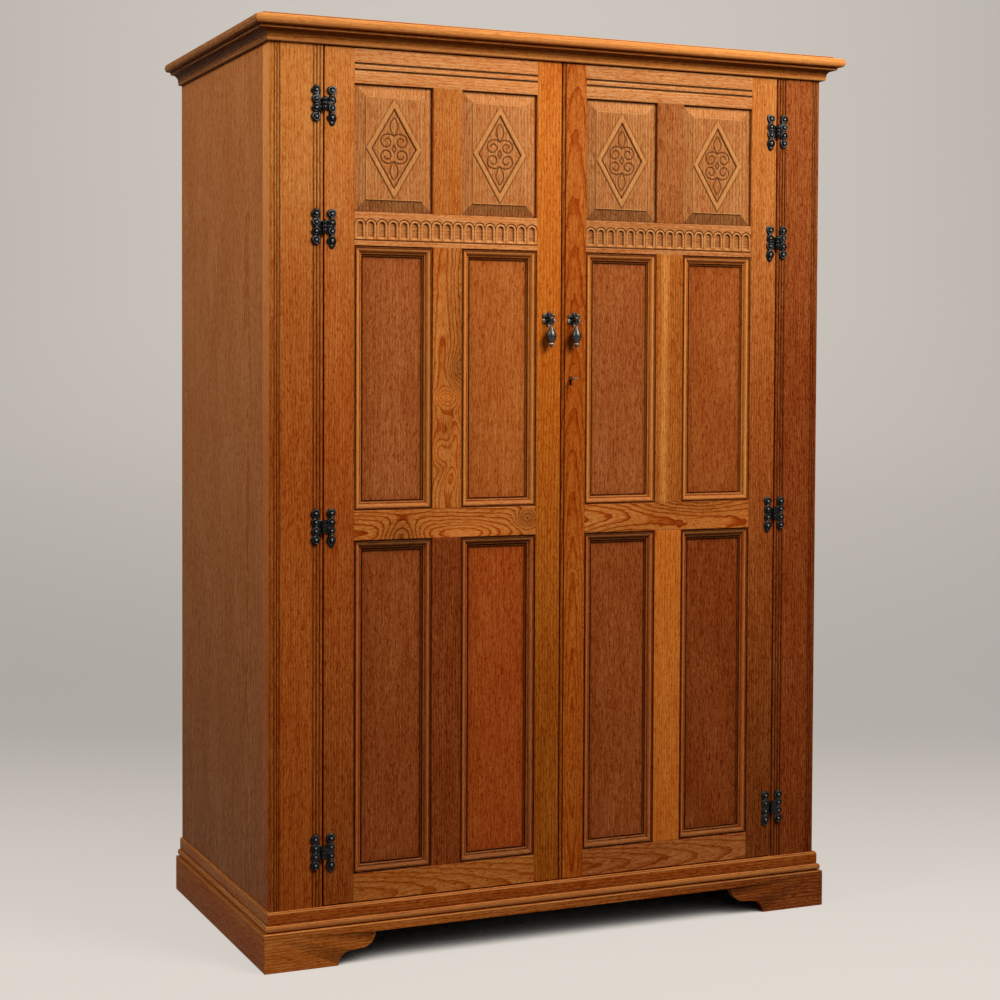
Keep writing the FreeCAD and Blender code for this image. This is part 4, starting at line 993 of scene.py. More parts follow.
    def beaded_stile(self, lay):
        """Stile with a bead, a quirk and the keyhole: depth over a grid that is finer at each of them."""
        low, high = span("right_meeting_stile")
        pivot = next(joint["pos_m"] for joint in frame["joints"] if joint["name"] == "key_turn")
        wide, tall = (high[X] - low[X]) / MM, (high[Z] - low[Z]) / MM
        x_key, z_key = (pivot[X] - low[X]) / MM, (pivot[Z] - low[Z]) / MM
        fine, coarse, round_key, over_key = 0.5, 2.0, 6, 7
        quirk_end = self.bead + 3
        across = np.concatenate((
            np.arange(0, quirk_end, fine), np.arange(quirk_end, x_key - round_key, coarse),
            np.arange(x_key - round_key, x_key + round_key, fine), np.linspace(x_key + round_key, wide, 10),
        ))
        z_foot = z_key - self.slot[1] - 3
        up = np.concatenate((
            np.linspace(0, z_foot, 40)[:-1], np.arange(z_foot, z_key + over_key, fine),
            np.linspace(z_key + over_key, tall, 20),
        ))
        u, v = across[None, :], up[:, None]
        middle = (self.bead - self.quirk_width) / 2
        bead = 1.1 * unit(np.abs(u - middle) / middle) ** 2.5 * (u < self.bead)
        quirk = bell(u - self.bead, self.quirk_width)
        from_hole = np.hypot(u - x_key, v - z_key) - self.keyhole
        beyond_slot = np.maximum(v - z_key, z_key - self.slot[1] - v)
        from_slot = np.maximum(np.abs(u - x_key) - self.slot[0] / 2, beyond_slot)
        hole = unit(-np.minimum(from_hole, from_slot) / fine)
        depth = bead + self.quirk_depth * quirk + self.hole_depth * hole
        # Painted shade fills the quirk and the keyhole, and the bead is a little darker
        grime = unit(0.9 * quirk + hole + 0.25 * (u < self.bead))
        return relief(
            low[X] + across * MM, low[Z] + up * MM, lay.face + depth * MM, lay.back, grime=grime,
        )

    def top_rail(self, lay):
        """Rail with a flat bead worked between two grooves: its section carried between the stiles."""
        z = lay.rails["top_rail"]
        height, depth = (z[1] - z[0]) / MM, (lay.back - lay.face) / MM
        half = self.groove_half
        grooves = [
            arc((0, height - drop + half), (0, height - drop - half), self.groove_depth, 8)
            for drop in self.groove_drops
        ]
        outline = profile((0, height), *grooves, (0, 0), (depth, 0), (depth, height))
        run = (lay.x_rail[1] - lay.x_rail[0], 0, 0)
        return strip(outline, (lay.x_rail[0], lay.face, z[0]), run, (0, 1, 0), (0, 0, 1))


class WARDROBE_OT_arcade_rails(WardrobeOperator, bpy.types.Operator):
    """Carved rail of each door: a row of round-headed niches with raised arches over an incised line"""
    bl_idname = "wardrobe.arcade_rails"
    bl_label = "Arcade Rails"

    niches = 17
    cell = 0.8
    half = 6.6
    crown = 46.0
    base = 11.0
    # A niche: the width of its slanted rim, its depth there, and how much deeper its middle is
    rim, sunk, hollow = 1.2, 1.6, 1.8
    # Its sill: height over the base, length of its slope, and rise
    sill_top, sill_slope, sill_rise = 7.0, 4.0, 2.2
    # The groove over an arch: distance from the niche, width and depth
    arch_gap, arch_width, arch_depth = 4.9, 0.9, 1.8
    # The seam between two arches, the raised band round a niche, and the incised line under them
    seam_width, seam_depth = 0.7, 0.8
    band_half, band_rise = 2.3, 0.5
    line_drop, line_width, line_depth = 1.0, 1.1, 1.8
    # Height over which one form fades into the next at the spring of an arch
    fade, overlap = 3.0, 2.0
    tones = {"left": 1.25, "right": 0.95}

    def execute(self, context):
        lay = Layout()
        x, z = lay.x_rail, lay.rails["carved_rail"]
        width, height = (x[1] - x[0]) / MM, (z[1] - z[0]) / MM
        across = np.linspace(0, width, int(width / self.cell))
        up = np.linspace(0, height, int(height / self.cell))
        depth, wear, grime = self.carving(across[None, :], up[:, None], width)
        for side, sign in SIDES:
            rail = relief(x[0] + across * MM, z[0] + up * MM, lay.face + depth * MM, lay.back, wear, grime)
            rail = rail.placed(sign).sawn(LEVEL, stain("tan", self.tones[side]), "straight", 0.3)
            node = side + "_carved_rail"
            make_piece(node + "_board", [rail], side + "_door", node, sharp=CARVED)
        return {"FINISHED"}

    def carving(self, x, z, width):
        """Depth in millimetres: niches sink inside round-headed outlines, a groove runs round each arch."""
        pitch = width / self.niches
        u = (x / pitch) % 1.0 * pitch - pitch / 2
        half, base = self.half, self.base
        spring = self.crown - half
        edge = np.where(z > spring, np.hypot(u, z - spring), np.abs(u) + 0 * z) - half
        inside = unit(-edge / self.rim) * unit((z - base - 2.0) / 1.0)
        niche = inside * (self.sunk + self.hollow * np.sqrt(unit(1 - (u / half) ** 2)))
        sill = unit((base + self.sill_top - z) / self.sill_slope) * inside
        above = unit((z - spring + self.overlap) / self.fade)
        below = unit((spring + self.overlap - z) / self.fade)
        arch = bell(edge - self.arch_gap, self.arch_width) * above
        seam = bell(np.abs(u) - pitch / 2, self.seam_width) * below * (z > base)
        band = unit(1 - np.abs(edge - self.band_half) / self.band_half)
        band = band * unit((z - base) / 2.0)
        line = bell(z - base + self.line_drop, self.line_width)
        raised = self.sill_rise * sill + self.band_rise * band
        cut = self.arch_depth * arch + self.seam_depth * seam + self.line_depth * line
        depth = niche + cut - raised
        shadow = bell(edge + 0.7, 0.9) * inside
        # Painted shade in the grooves, seams, incised line and niches, with a painted shadow inside their
        # edges; painted highlights on raised bands and sills
        grime = unit(0.95 * arch + 0.5 * seam + 0.9 * line + 0.75 * shadow + 0.2 * inside)
        return depth, unit(0.45 * band + 0.5 * sill), grime * (1 - 0.9 * sill)


class WARDROBE_OT_carved_panels(WardrobeOperator, bpy.types.Operator):
    """Head panels: a bevelled edge, a flat field, and a lozenge of four scrolls and two leaves"""
    bl_idname = "wardrobe.carved_panels"
    bl_label = "Carved Panels"

    cell = 1.0
    bevel = 24.0
    edge_depth = 7.5
    field_depth = 2.0
    step = 1.3
    band = 10.0
    band_rise = 1.5
    band_slope = 1.2
    cut_depth = 1.8
    cut_width = 1.15
    foot_depth = 0.6
    # Flat left over and under the lozenge
    field_margin = 2.5
    # Half-width and half-height of the small lozenge in the middle
    eye = (4.3, 7.6)
    # Middle of a scroll, and where its spiral starts, in degrees
    scroll = (15.8, 14.2)
    scroll_start = 149.0
    # The spiral's turn from its start in degrees, and its radius there
    spiral = ((0, 60, 150, 240, 330, 420, 510), (18.5, 13.6, 11.6, 10.8, 9.0, 5.6, 3.0))
    spiral_end = 520
    # Start, length and half-width of a leaf
    leaf = (25.0, 36.0, 8.2)
    tones = {"left": 1.0, "right": 0.82}

    def execute(self, context):
        lay = Layout()
        z = lay.rows["head"]
        back = extent("right_carved_panels", Y)[1]
        for side, sign in SIDES:
            panels = []
            for x in lay.columns:
                half = np.array((x[1] - x[0], z[1] - z[0])) / 2 / MM
                across, up = (np.linspace(-reach, reach, int(2 * reach / self.cell)) for reach in half)
                depth, *looks = self.carving(across[None, :], up[:, None], half)
                x_grid, z_grid = sum(x) / 2 + across * MM, sum(z) / 2 + up * MM
                panel = relief(x_grid, z_grid, lay.face + depth * MM, back, *looks).placed(sign)
                panels.append(panel.sawn(UPRIGHT, stain("tan", self.tones[side]), "straight", 0.35))
            node = side + "_carved_panels"
            make_piece(node + "_boards", panels, side + "_door", node, sharp=CARVED)
        return {"FINISHED"}

    def carving(self, x, z, half):
        """Depth in millimetres: a bevel, a step, the field, a raised lozenge band and grooves inside it."""
        inset = np.minimum(half[0] - np.abs(x), half[1] - np.abs(z))
        in_bevel = inset < self.bevel
        rise = self.edge_depth - self.field_depth - self.step
        slope = self.edge_depth - rise * unit(inset / self.bevel)
        depth = np.where(in_bevel, slope, self.field_depth)
        field = half - self.bevel - (0.0, self.field_margin)
        lozenge = np.abs(x) / field[0] + np.abs(z) / field[1]
        inward = (1 - lozenge) * field[0] * field[1] / np.hypot(*field)
        band = unit(inward / self.band_slope)
        band = band * unit((self.band - inward) / self.band_slope)
        foot = bell(inward + 0.5, 1.0) * (inset > self.bevel)
        inner = bell(inward - self.band - 0.8, 1.2)
        eye = np.abs(x) / self.eye[0] + np.abs(z) / self.eye[1]
        cuts = unit(inner + self.scrolls(x, z) + self.leaves(x, z) + bell(eye - 1.0, 0.3))
        depth = depth - self.band_rise * band + self.cut_depth * cuts + self.foot_depth * foot
        upright = half[1] - np.abs(z) < half[0] - np.abs(x)
        lower, upper = (in_bevel & upright & (z < 0)), (in_bevel & upright & (z > 0))
        crease = bell(inset - self.bevel - 0.6, 0.8)
        shadow = bell(inset - self.bevel + 1.3, 1.1)
        # Painted shade along the outer edges where the panel sinks under the frame, in the cuts, at the
        # band's foot, and as a shadow under the field's step, heavier below
        edge_shade = 0.8 * np.exp(-inset / 1.5)
        grime = 0.8 * cuts + np.where(z < 0, 0.6, 0.4) * foot + edge_shade + np.where(lower, 0.6, 0.2) * shadow
        # Painted highlights on the crease, the band and the upper bevel; in the tone, painted shade on the
        # lower bevel and painted light on the upper one
        wear = 0.7 * crease + 0.42 * band + 0.15 * upper
        tone = 1.0 - 0.38 * lower + 0.1 * upper
        return depth, unit(wear), unit(grime), tone

    def scrolls(self, x, z):
        """Groove along four spirals that start on the middle line and wind in by about a turn and a half."""
        u, v = np.abs(x) - self.scroll[0], np.abs(z) - self.scroll[1]
        distance = np.hypot(u, v)
        turn = (self.scroll_start - np.degrees(np.arctan2(v, u))) % 360.0
        first, second = (
            bell(distance - np.interp(at, *self.spiral), self.cut_width) * (at < self.spiral_end)
            for at in (turn, turn + 360.0)
        )
        return np.maximum(first, second)

    def leaves(self, x, z):
        """Groove round two pointed leaves whose half-width follows a half sine."""
        start, reach, widest = self.leaf
        share = unit((np.abs(z) - start) / reach)
        half = widest * np.sin(math.pi * share) ** 0.9
        return bell(np.abs(x) - half, 1.1) * (share > 0.0) * (share < 1.0)


class WARDROBE_OT_plain_panels(WardrobeOperator, bpy.types.Operator):
    """Plain panels and the four mitred strips of moulding round each of them"""
    bl_idname = "wardrobe.plain_panels"
    bl_label = "Plain Panels and Mouldings"

    outline = profile(
        (0, 0), (0, 11.0), arc((0, 11.0), (4.2, 11.0), -2.1, 9), (4.5, 10.0), (4.9, 9.8),
        arc((4.9, 9.8), (10.4, 8.0), 0.4, 4), (10.8, 7.0), (11.2, 6.8),
        arc((11.2, 6.8), (15.6, 4.8), -0.5, 4), (15.9, 3.8), (16.2, 3.6),
        arc((16.2, 3.6), (20, 3.6), -1.9, 9), (20, 0),
    )
    moulding = 20.0 * MM
    shade_fade = 8.0 * MM
    soil_and_shade = 0.9
    # Lines of a panel's grid, in from the frame: its hidden tongue, then closer together by the moulding
    lines = (-7.0, 19.0, 20.5, 23.0, 27.0, 33.0, 42.0)

    def execute(self, context):
        lay = Layout()
        # Stains of each row's panels, from the middle of the wardrobe outwards
        tones = {
            "left": {
                "lower": (stain("russet"), stain("sienna")),
                "mid": (stain("golden", 0.46) + stain("chestnut", 0.6), stain("chestnut")),
            },
            "right": {
                "lower": (stain("sienna"), stain("umber")),
                "mid": (stain("chestnut", 0.93), stain("amber", 0.43) + stain("chestnut", 0.43)),
            },
        }
        # Level strips, upright strips, and how far their crests are rubbed and carry painted highlights
        trims = {
            "lower": (stain("sienna", 0.8), stain("russet"), 0.75),
            "mid": (stain("amber"), stain("golden", 1.15), 1.3),
        }
        for side, sign in SIDES:
            panels, strips = [], []
            for column, x in enumerate(lay.columns):
                for row, trim in trims.items():
                    z = lay.rows[row]
                    panel = self.panel(x, z, lay).placed(sign)
                    panels.append(panel.sawn(UPRIGHT, tones[side][row][column], "straight", 0.15))
                    strips += self.frame(x, z, lay.panel, sign, *trim)
            door = side + "_door"
            make_piece(side + "_plain_panel_boards", panels, door, side + "_plain_panels")
            make_piece(side + "_moulding_strips", strips, door, side + "_panel_mouldings")
        return {"FINISHED"}

    def panel(self, x, z, lay):
        """Flat board let into the frame, with painted shade that fades over a finger's width from the
        moulding.
        """
        lines = np.array(self.lines) * MM
        across, up = (np.concatenate((low + lines, high - lines[::-1])) for low, high in (x, z))
        from_moulding = np.maximum(from_edges(across, up, x, z) - self.moulding, 0)
        grime = 0.22 * np.exp(-from_moulding / self.shade_fade)
        return relief(across, up, np.full(grime.shape, lay.panel), lay.panel_back, grime=grime)

    def frame(self, x, z, panel, sign, level, upright, rub_and_highlight):
        """Four strips that meet at mitres: foot, head and two sides."""
        across, along = (x[1] - x[0], 0, 0), (0, 0, z[1] - z[0])
        out = (0, -1, 0)
        runs = (
            ((x[0], panel, z[0]), across, (0, 0, 1), LEVEL, level),
            ((x[0], panel, z[1]), across, (0, 0, -1), LEVEL, level),
            ((x[0], panel, z[0]), along, (1, 0, 0), UPRIGHT, upright),
            ((x[1], panel, z[0]), along, (-1, 0, 0), UPRIGHT, upright),
        )
        forms = []
        for start, run, inward, axes, tint in runs:
            form = strip(self.outline, start, run, inward, out, (1.0, 1.0), rub_and_highlight, self.soil_and_shade).placed(sign)
            forms.append(form.sawn(axes, tint, "straight", 0.4))
        return forms


class WARDROBE_OT_hinges(WardrobeOperator, bpy.types.Operator):
    """Cast iron surface hinges: two leaves of four scrolled lobes and a ringed knuckle"""
    bl_idname = "wardrobe.hinges"
    bl_label = "Hinges"

    foot_rise = 50 * MM
    top_drop = 44 * MM
    axis_aside = 1.5 * MM
    leaf_offset = 16.0 * MM
    # Each lobe's height on the leaf, its radius and which way it curls
    lobes = ((26.0, 9.5, 1), (9.0, 8.8, -1), (-8.0, 8.8, 1), (-25.0, 9.5, -1))
    # Half-width, half-height and thickness of the spine
    spine = (5.5 * MM, 28 * MM, 2.4 * MM)
    # How far from the axis the web and the arm of a ring start, the web's half-height, and their thicknesses
    web_start, web_tall, web_thick = 5.4 * MM, 13 * MM, 2.6 * MM
    arm_start, arm_thick = 2.5 * MM, 3.0 * MM
    knuckle = 4.8 * MM
    knuckle_stand = 5.2 * MM
    ring = 7.6 * MM
    ring_pitch = 7.8 * MM
    # Share of a lobe's radius where its rim stands, half the rim's width, and its height in millimetres
    rim_at, rim_half, rim_height = 0.74, 0.26, 4.2
    # Share of the radius that the ball takes, its height and that of the bed under both, in millimetres
    ball_share, ball_height, bed = 0.46, 5.6, 1.0

    def execute(self, context):
        iron = "lacquered_iron"
        post = span("right_corner_post")[0]
        x_axis = post[X] - self.axis_aside
        rows = Layout().rows
        heights = (
            rows["lower"][0] + self.foot_rise, (rows["lower"][1] + rows["mid"][0]) / 2,
            (rows["mid"][1] + rows["head"][0]) / 2, rows["head"][1] - self.top_drop,
        )
        posts = []
        for side, sign in SIDES:
            doors = []
            for z in heights:
                posts += [form.placed(sign) for form in self.leaf(x_axis, post[Y], z, 1)]
                doors += [form.placed(sign) for form in self.leaf(x_axis, post[Y], z, -1)]
            node = side + "_hinge_leaves"
            make_piece(side + "_door_leaves", doors, side + "_door", node, iron, CARVED)
        make_piece("post_leaves", posts, "carcase", "hinge_post_leaves", iron, CARVED)
        dress(["hinge_pins"], iron)
        return {"FINISHED"}

    def leaf(self, x_axis, face, z, away):
        """Lobes beside the axis, a web from them to the knuckle, and this leaf's share of its rings.

        The post's leaf lies outwards and has the two outer rings; the door's leaf ends in a pointed tail.
        """
        x = x_axis + away * self.leaf_offset
        tails = (0.0, 0.0, 0.0, 0.9 if away < 0 else 0.0)
        forms = [
            self.lobe((x, face, z + at * MM), size, curl * away, tail)
            for (at, size, curl), tail in zip(self.lobes, tails)
        ]
        half, tall, thick = self.spine
        forms.append(board((x - half, face - thick, z - tall), (x + half, face, z + tall), Z, 1.0 * MM))
        near, far = sorted((x_axis + away * self.web_start, x))
        tall, thick = self.web_tall, self.web_thick
        forms.append(board((near, face - thick, z - tall), (far, face, z + tall), X, 0.8 * MM))
        swell = np.linspace(0, math.pi, 9)
        girth = self.knuckle * (0.72 + 0.28 * np.sin(swell) ** 0.6)
        outline = np.column_stack((girth, -self.ring / 2 * np.cos(swell)))
        bore = (0.4, 1)
        outline = np.concatenate(((outline[0] * bore,), outline, (outline[-1] * bore,)))
        near, far = sorted((x_axis + away * self.arm_start, x))
        for at in ((-self.ring_pitch, self.ring_pitch) if away > 0 else (0.0,)):
            low, high = z + at - self.ring / 2, z + at + self.ring / 2
            forms.append(board((near, face - self.arm_thick, low), (far, face, high), X, 0.6 * MM))
            forms.append(turned(outline, (x_axis, face - self.knuckle_stand, z + at), Z, 24))
        return forms

    def lobe(self, centre, size, curl, tail):
        """Scrolled leaf: a round rim that swells and thins as it goes round, and a ball inside it.

        Both are half circles in section, and the tail draws the lowest part of the rim to a point.
        """
        share = np.linspace(0.03, 1.0, 24)[:, None]
        angle = np.linspace(0, 2 * math.pi, 48, endpoint=False)[None, :]
        down = unit(-np.sin(angle))
        reach = size * (1 + tail * down ** 8) * (1 + 0.08 * np.cos(3 * angle + curl))
        thick = 0.65 + 0.35 * np.cos(angle - 0.9 * curl)
        across_rim = (share - self.rim_at) / self.rim_half
        rim = self.rim_height * np.sqrt(unit(1 - across_rim ** 2)) * thick
        ball = self.ball_height * np.sqrt(unit(1 - (share / self.ball_share) ** 2))
        # Painted highlights shown as rubbed metal: a spot on the ball's crown and a crescent on the rim's lit
        # side
        lit = unit(np.cos(angle - 2.0)) ** 2
        wear = 0.5 * bell(share, 0.16) + 0.12 * bell(share - 0.72, 0.1) * lit
        grid, wear = cast(share, angle, reach, self.bed + np.maximum(rim, ball), (1.02, 1.0), wear)
        return tube(grid + np.asarray(centre), wear)


class WARDROBE_OT_pulls(WardrobeOperator, bpy.types.Operator):
    """Drop pulls: a leafy star plate with two ears and a pin, and the pear that hangs from it"""
    bl_idname = "wardrobe.pulls"
    bl_label = "Drop Pulls"

    eye = 3.4 * MM
    ear_aside = 3.3 * MM
    ear_half = 1.0 * MM
    ear_foot = 4 * MM
    # Radius of the star plate between two leaves, and the length of a leaf beyond that
    rim, leaf_length = 11.0, 4.8
    # Heights of the plate, its boss, its ridged leaves and their curled tips, and the depth between leaves
    bed, boss, ridge, curl, valley = 2.4, 3.4, 3.4, 0.9, 1.6
    # Radius and place along its line of the pin, and of the bored eye of the drop
    pin = ((0.3, -4.9), (1.5, -4.6), (1.5, 4.6), (0.3, 4.9))
    bore = ((1.6, -1.9), (3.3, -1.9), (3.4, -1.5), (3.4, 1.5), (3.3, 1.9), (1.6, 1.9))
    # Distance below the pin and radius of the pear, for a drop of the length given
    pear_length = 60
    pear_down = (2.6, 9, 14, 18, 22, 26, 30, 34, 37, 40, 43, 46, 48.5, 50.0)
    pear_girth = (1.7, 1.8, 2.2, 3.3, 5.2, 7.5, 9.4, 10.4, 10.5, 10.1, 9.0, 7.2, 5.4, 4.4)
    # Radius and distance below the pear of the collar and the tip, up to the end of the drop
    collar = (
        (4.4, 0.4), (5.0, 0.8), (5.2, 1.5), (4.8, 2.3), (3.9, 2.6), (4.0, 3.6), (3.5, 5.4), (2.0, 7.8),
    )

    def execute(self, context):
        low, high = span("right_pull_plate")
        face = high[Y]
        x, z = (low[X] + high[X]) / 2, (low[Z] + high[Z]) / 2
        y = sum(extent("right_pull_drop", Y)) / 2
        pivot = np.array((x, y, z))
        for side, sign in SIDES:
            plate = [self.star((x, face, z))]
            for ear in (-1, 1):
                near = x + ear * self.ear_aside
                ear_low = (near - self.ear_half, y - self.eye, z - self.eye)
                ear_high = (near + self.ear_half, face - self.ear_foot, z + self.eye)
                plate.append(board(ear_low, ear_high, Y, 0.8 * MM))
            plate.append(turned(np.array(self.pin) * MM, pivot, X, 16))
            for name, forms, body, node in (
                ("_star_plate", plate, "_door", "_pull_plate"),
                ("_pear_drop", self.drop(pivot), "_pull", "_pull_drop"),
            ):
                forms = [form.placed(sign) for form in forms]
                make_piece(side + name, forms, side + body, side + node, "dark_pewter", CAST)
        return {"FINISHED"}

    def star(self, centre):
        """Six broad leaves: the rim swings in and out six times a turn.

        Each leaf is ridged along its middle and curled at its tip, with a boss in the middle of the plate.
        """
        leaves = 6
        share = np.linspace(0.02, 1.0, 22)[:, None]
        angle = np.linspace(0, 2 * math.pi, 156, endpoint=False)[None, :]
        point = np.abs((((angle + math.pi / 2) * leaves / (2 * math.pi)) % 1.0) - 0.5) * 2
        reach = (self.rim + self.leaf_length * point ** 1.2) * (1 + 0.05 * np.sin(2 * angle + 1.0))
        boss = bell(share * 15, 5.0)
        leaf = point ** 2 * np.sin(math.pi * unit(share * 1.05)) ** 0.6
        valley = (1 - point) ** 3 * unit(share * 2)
        curl = point * unit((share - 0.78) / 0.22)
        height = self.bed + self.boss * boss + self.ridge * leaf - self.valley * valley + self.curl * curl
        # Painted highlights shown as rubbed metal on the leaves' ridges and curled tips
        wear = 0.2 * point * unit((share - 0.72) / 0.28) + 0.2 * leaf ** 3
        grid, wear = cast(share, angle, reach, height, (1.0, 0.95), wear)
        return tube(grid + np.asarray(centre), wear)

    def drop(self, pivot):
        """Pear turned about its own line: a thin neck, a bulb, a collar with a painted highlight and a small
        pointed tip.
        """
        reach = (pivot[Z] - extent("right_pull_drop", Z)[0]) / MM
        down = np.array(self.pear_down) * reach / self.pear_length
        along = np.linspace(down[0], down[-1], 46)
        body = np.column_stack((np.interp(along, down, self.pear_girth), along))
        body[2:-2, 0] = np.convolve(body[:, 0], np.ones(5) / 5, mode="valid")
        tip = np.array(self.collar) + (0, along[-1])
        outline = np.concatenate((((0.4, along[0]),), body, tip, ((0.3, reach),))) * (1, -1) * MM
        # Painted highlight round the collar, shown as rubbed metal
        rubbed_and_highlight = 0.7 * bell(-outline[:, 1] / MM - along[-1] - 1.4, 1.1)
        return [turned(outline, pivot, Z, 32, rubbed_and_highlight), turned(np.array(self.bore) * MM, pivot, X, 24)]


class WARDROBE_OT_fittings(WardrobeOperator, bpy.types.Operator):
    """Finish of the lock, key, bolts and inside boards, which keep the shape of their solids"""
    bl_idname = "wardrobe.fittings"
    bl_label = "Lock and Inside"

    nodes = {
        "handled_steel": (
            "lock_case", "lock_bolt", "lock_keeper", "key", "top_bolt", "bottom_bolt", "bolt_casings",
        ),
        "lacquered_brass": ("hanging_rail", "rail_sockets"),
        "waxed_oak_level": ("head_rail", "bottom_rail"),
        "bare_oak_level": ("back_panel", "plinth_back", "plinth_blocks"),
        "bare_oak_flat": ("top_board", "bottom_board", "hat_shelf", "shelf_cleats"),
    }

    def execute(self, context):
        for finish, nodes in self.nodes.items():
            dress(nodes, finish)
        return {"FINISHED"}


class WARDROBE_OT_stage(WardrobeOperator, bpy.types.Operator):
    """Floor that sweeps up into a backdrop, soft lamps and the camera"""
    bl_idname = "wardrobe.stage"
    bl_label = "Stage"

    # Camera matched to the photograph: focal length, centre and frame in pixels, angles, and place in metres
    focal = 1904.6
    centre = (455.0, 430.0)
    photo = 1000
    yaw = 0.4033
    pitch = 0.0313
    roll = 0.0037
    place = (-1.7146, -3.773, 1.1564)
    sensor = 36.0
    # Backdrop in metres: radius of its bend, where the bend starts, and the size of a cell
    bend = 0.8
    foot = 1.9
    cell = 0.12
    near_edge = -6.0
    half_width = 5.4
    wall_top = 6.0
    wall_rows = 20
    # Its glow, painted brighter and darker as light falls on the paper: at the foot of the wall, what the
    # near floor and the upper wall add, and what the sides lose
    foot_glow, floor_glow, wall_glow, side_loss = 0.51, 0.29, 0.20, 0.16
    # Where the floor's glow starts, and the distances in metres over which each of them changes
    floor_start, floor_fade, wall_fade, side_fade = 0.6, 3.0, 1.4, 1.8

    def execute(self, context):
        scene = context.scene
        stage = scene.wardrobe_stage
        backdrop = self.backdrop(stage.floor)
        scene.collection.objects.link(backdrop)
        self.lamp("key_lamp", (1.0, -2.1, 3.0), (0.0, -0.3, 1.0), 1.3, stage.key_power)
        self.lamp("fill_lamp", (-2.5, -0.5, 2.9), (-0.6, 0.0, 1.0), 1.6, stage.fill_power)
        world = bpy.data.worlds.new("studio")
        world.use_nodes = True
        background = world.node_tree.nodes["Background"]
        background.inputs["Color"].default_value = rgba(stage.sky_tone)
        background.inputs["Strength"].default_value = stage.sky
        scene.world = world
        scene.view_settings.view_transform = "Standard"
        self.camera(scene)
        return {"FINISHED"}

    def backdrop(self, tone):
        """Floor that bends up into a wall square to the camera's view, with a glow at each of its points.

        The glow is how much of its own colour shows, painted lower towards the foot of the wall and to the
        sides as painted shade.
        """
        bend, foot = self.bend, self.foot
        angle = np.linspace(0, math.pi / 2, 16)
        ground = np.arange(self.near_edge, foot, self.cell)
        depth = np.concatenate((ground, foot + bend * np.sin(angle), np.full(self.wall_rows, foot + bend)))
        wall = np.linspace(bend, self.wall_top, self.wall_rows)
        height = np.concatenate((np.zeros(len(ground)), bend * (1 - np.cos(angle)), wall))
        across = np.arange(-self.half_width, self.half_width, self.cell)
        sideways = np.array((math.cos(self.yaw), -math.sin(self.yaw), 0.0))
        ahead = np.array((math.sin(self.yaw), math.cos(self.yaw), 0.0))
        grid = across[None, :, None] * sideways + depth[:, None, None] * ahead
        grid[:, :, Z] = height[:, None]
        near = unit((foot + self.floor_start - depth) / self.floor_fade)[:, None]
        up = unit(height / self.wall_fade)[:, None]
        level = self.foot_glow + self.floor_glow * smooth_step(near) + self.wall_glow * smooth_step(up)
        level = level * (1 - self.side_loss * unit(np.abs(across) / self.side_fade) ** 2 * up)
        mesh = bpy.data.meshes.new("backdrop")
        faces = grid_faces(len(depth), len(across), False)
        mesh.from_pydata(grid.reshape(-1, 3).tolist(), [], faces.tolist())
        mesh.polygons.foreach_set("use_smooth", np.ones(len(mesh.polygons), bool))
        glow = mesh.attributes.new("glow", "FLOAT", "POINT")
        glow.data.foreach_set("value", level.astype(np.float32).ravel())
        mesh.materials.append(self.paper(tone))
        return bpy.data.objects.new("backdrop", mesh)

    def paper(self, tone):
        """Matt background paper: mostly its own pale colour; the rest takes the lamps and the shadow."""
        material = new_material("backdrop_paper")
        tree = material.node_tree
        place = add_node(tree, "TexCoord").outputs["Object"]
        level = add_node(tree, "Attribute", attribute_name="glow").outputs["Fac"]
        cloud = add_node(tree, "TexNoise", {"Vector": place, "Scale": 0.8, "Detail": 2.0})
        shade = add_node(
            tree, "Mix", {0: cloud.outputs["Fac"], 6: rgba(tone, 0.14), 7: rgba(tone, 0.16)},
            data_type="RGBA",
        )
        path = add_node(tree, "LightPath").outputs
        seen = add_node(
            tree, "Math", {0: path["Is Camera Ray"], 1: path["Is Glossy Ray"]}, operation="ADD",
        )
        seen = add_node(
            tree, "Math", {0: seen.outputs[0], 1: path["Is Transmission Ray"]},
            operation="ADD", use_clamp=True,
        )
        # Painted shadow: its own colour goes dark where something stands close over it, as under the plinth
        open_sky = add_node(tree, "AmbientOcclusion", {"Distance": 0.6}, samples=16)
        clear = add_node(
            tree, "MapRange", {"Value": open_sky.outputs["AO"], "From Min": 0.06, "From Max": 0.52},
            interpolation_type="SMOOTHSTEP",
        )
        dimmed = add_node(tree, "Math", {0: level, 1: clear.outputs[0]}, operation="MULTIPLY")
        strength = add_node(
            tree, "Math", {0: dimmed.outputs[0], 1: seen.outputs[0]}, operation="MULTIPLY",
        )
        lit = add_node(tree, "BsdfDiffuse", {"Color": shade.outputs[2]})
        own = add_node(tree, "Emission", {"Color": rgba(tone), "Strength": strength.outputs[0]})
        both = add_node(tree, "AddShader", {0: lit.outputs[0], 1: own.outputs[0]})
        # From behind the paper is clear, so that the back of the wardrobe can be looked at
        behind = add_node(tree, "NewGeometry").outputs["Backfacing"]
        glass = add_node(tree, "BsdfTransparent")
        paper = add_node(tree, "MixShader", {0: behind, 1: both.outputs[0], 2: glass.outputs[0]})
        add_node(tree, "OutputMaterial", {"Surface": paper.outputs[0]})
        return material

    def lamp(self, name, place, aim, size, watts):
        """Square soft lamp turned towards a point."""
        light = bpy.data.lights.new(name, "AREA")
        light.shape = "SQUARE"
        light.size = size
        light.energy = watts
        lamp = bpy.data.objects.new(name, light)
        lamp.matrix_world = looking(np.asarray(aim) - np.asarray(place), 0.0, place)
        bpy.context.scene.collection.objects.link(lamp)

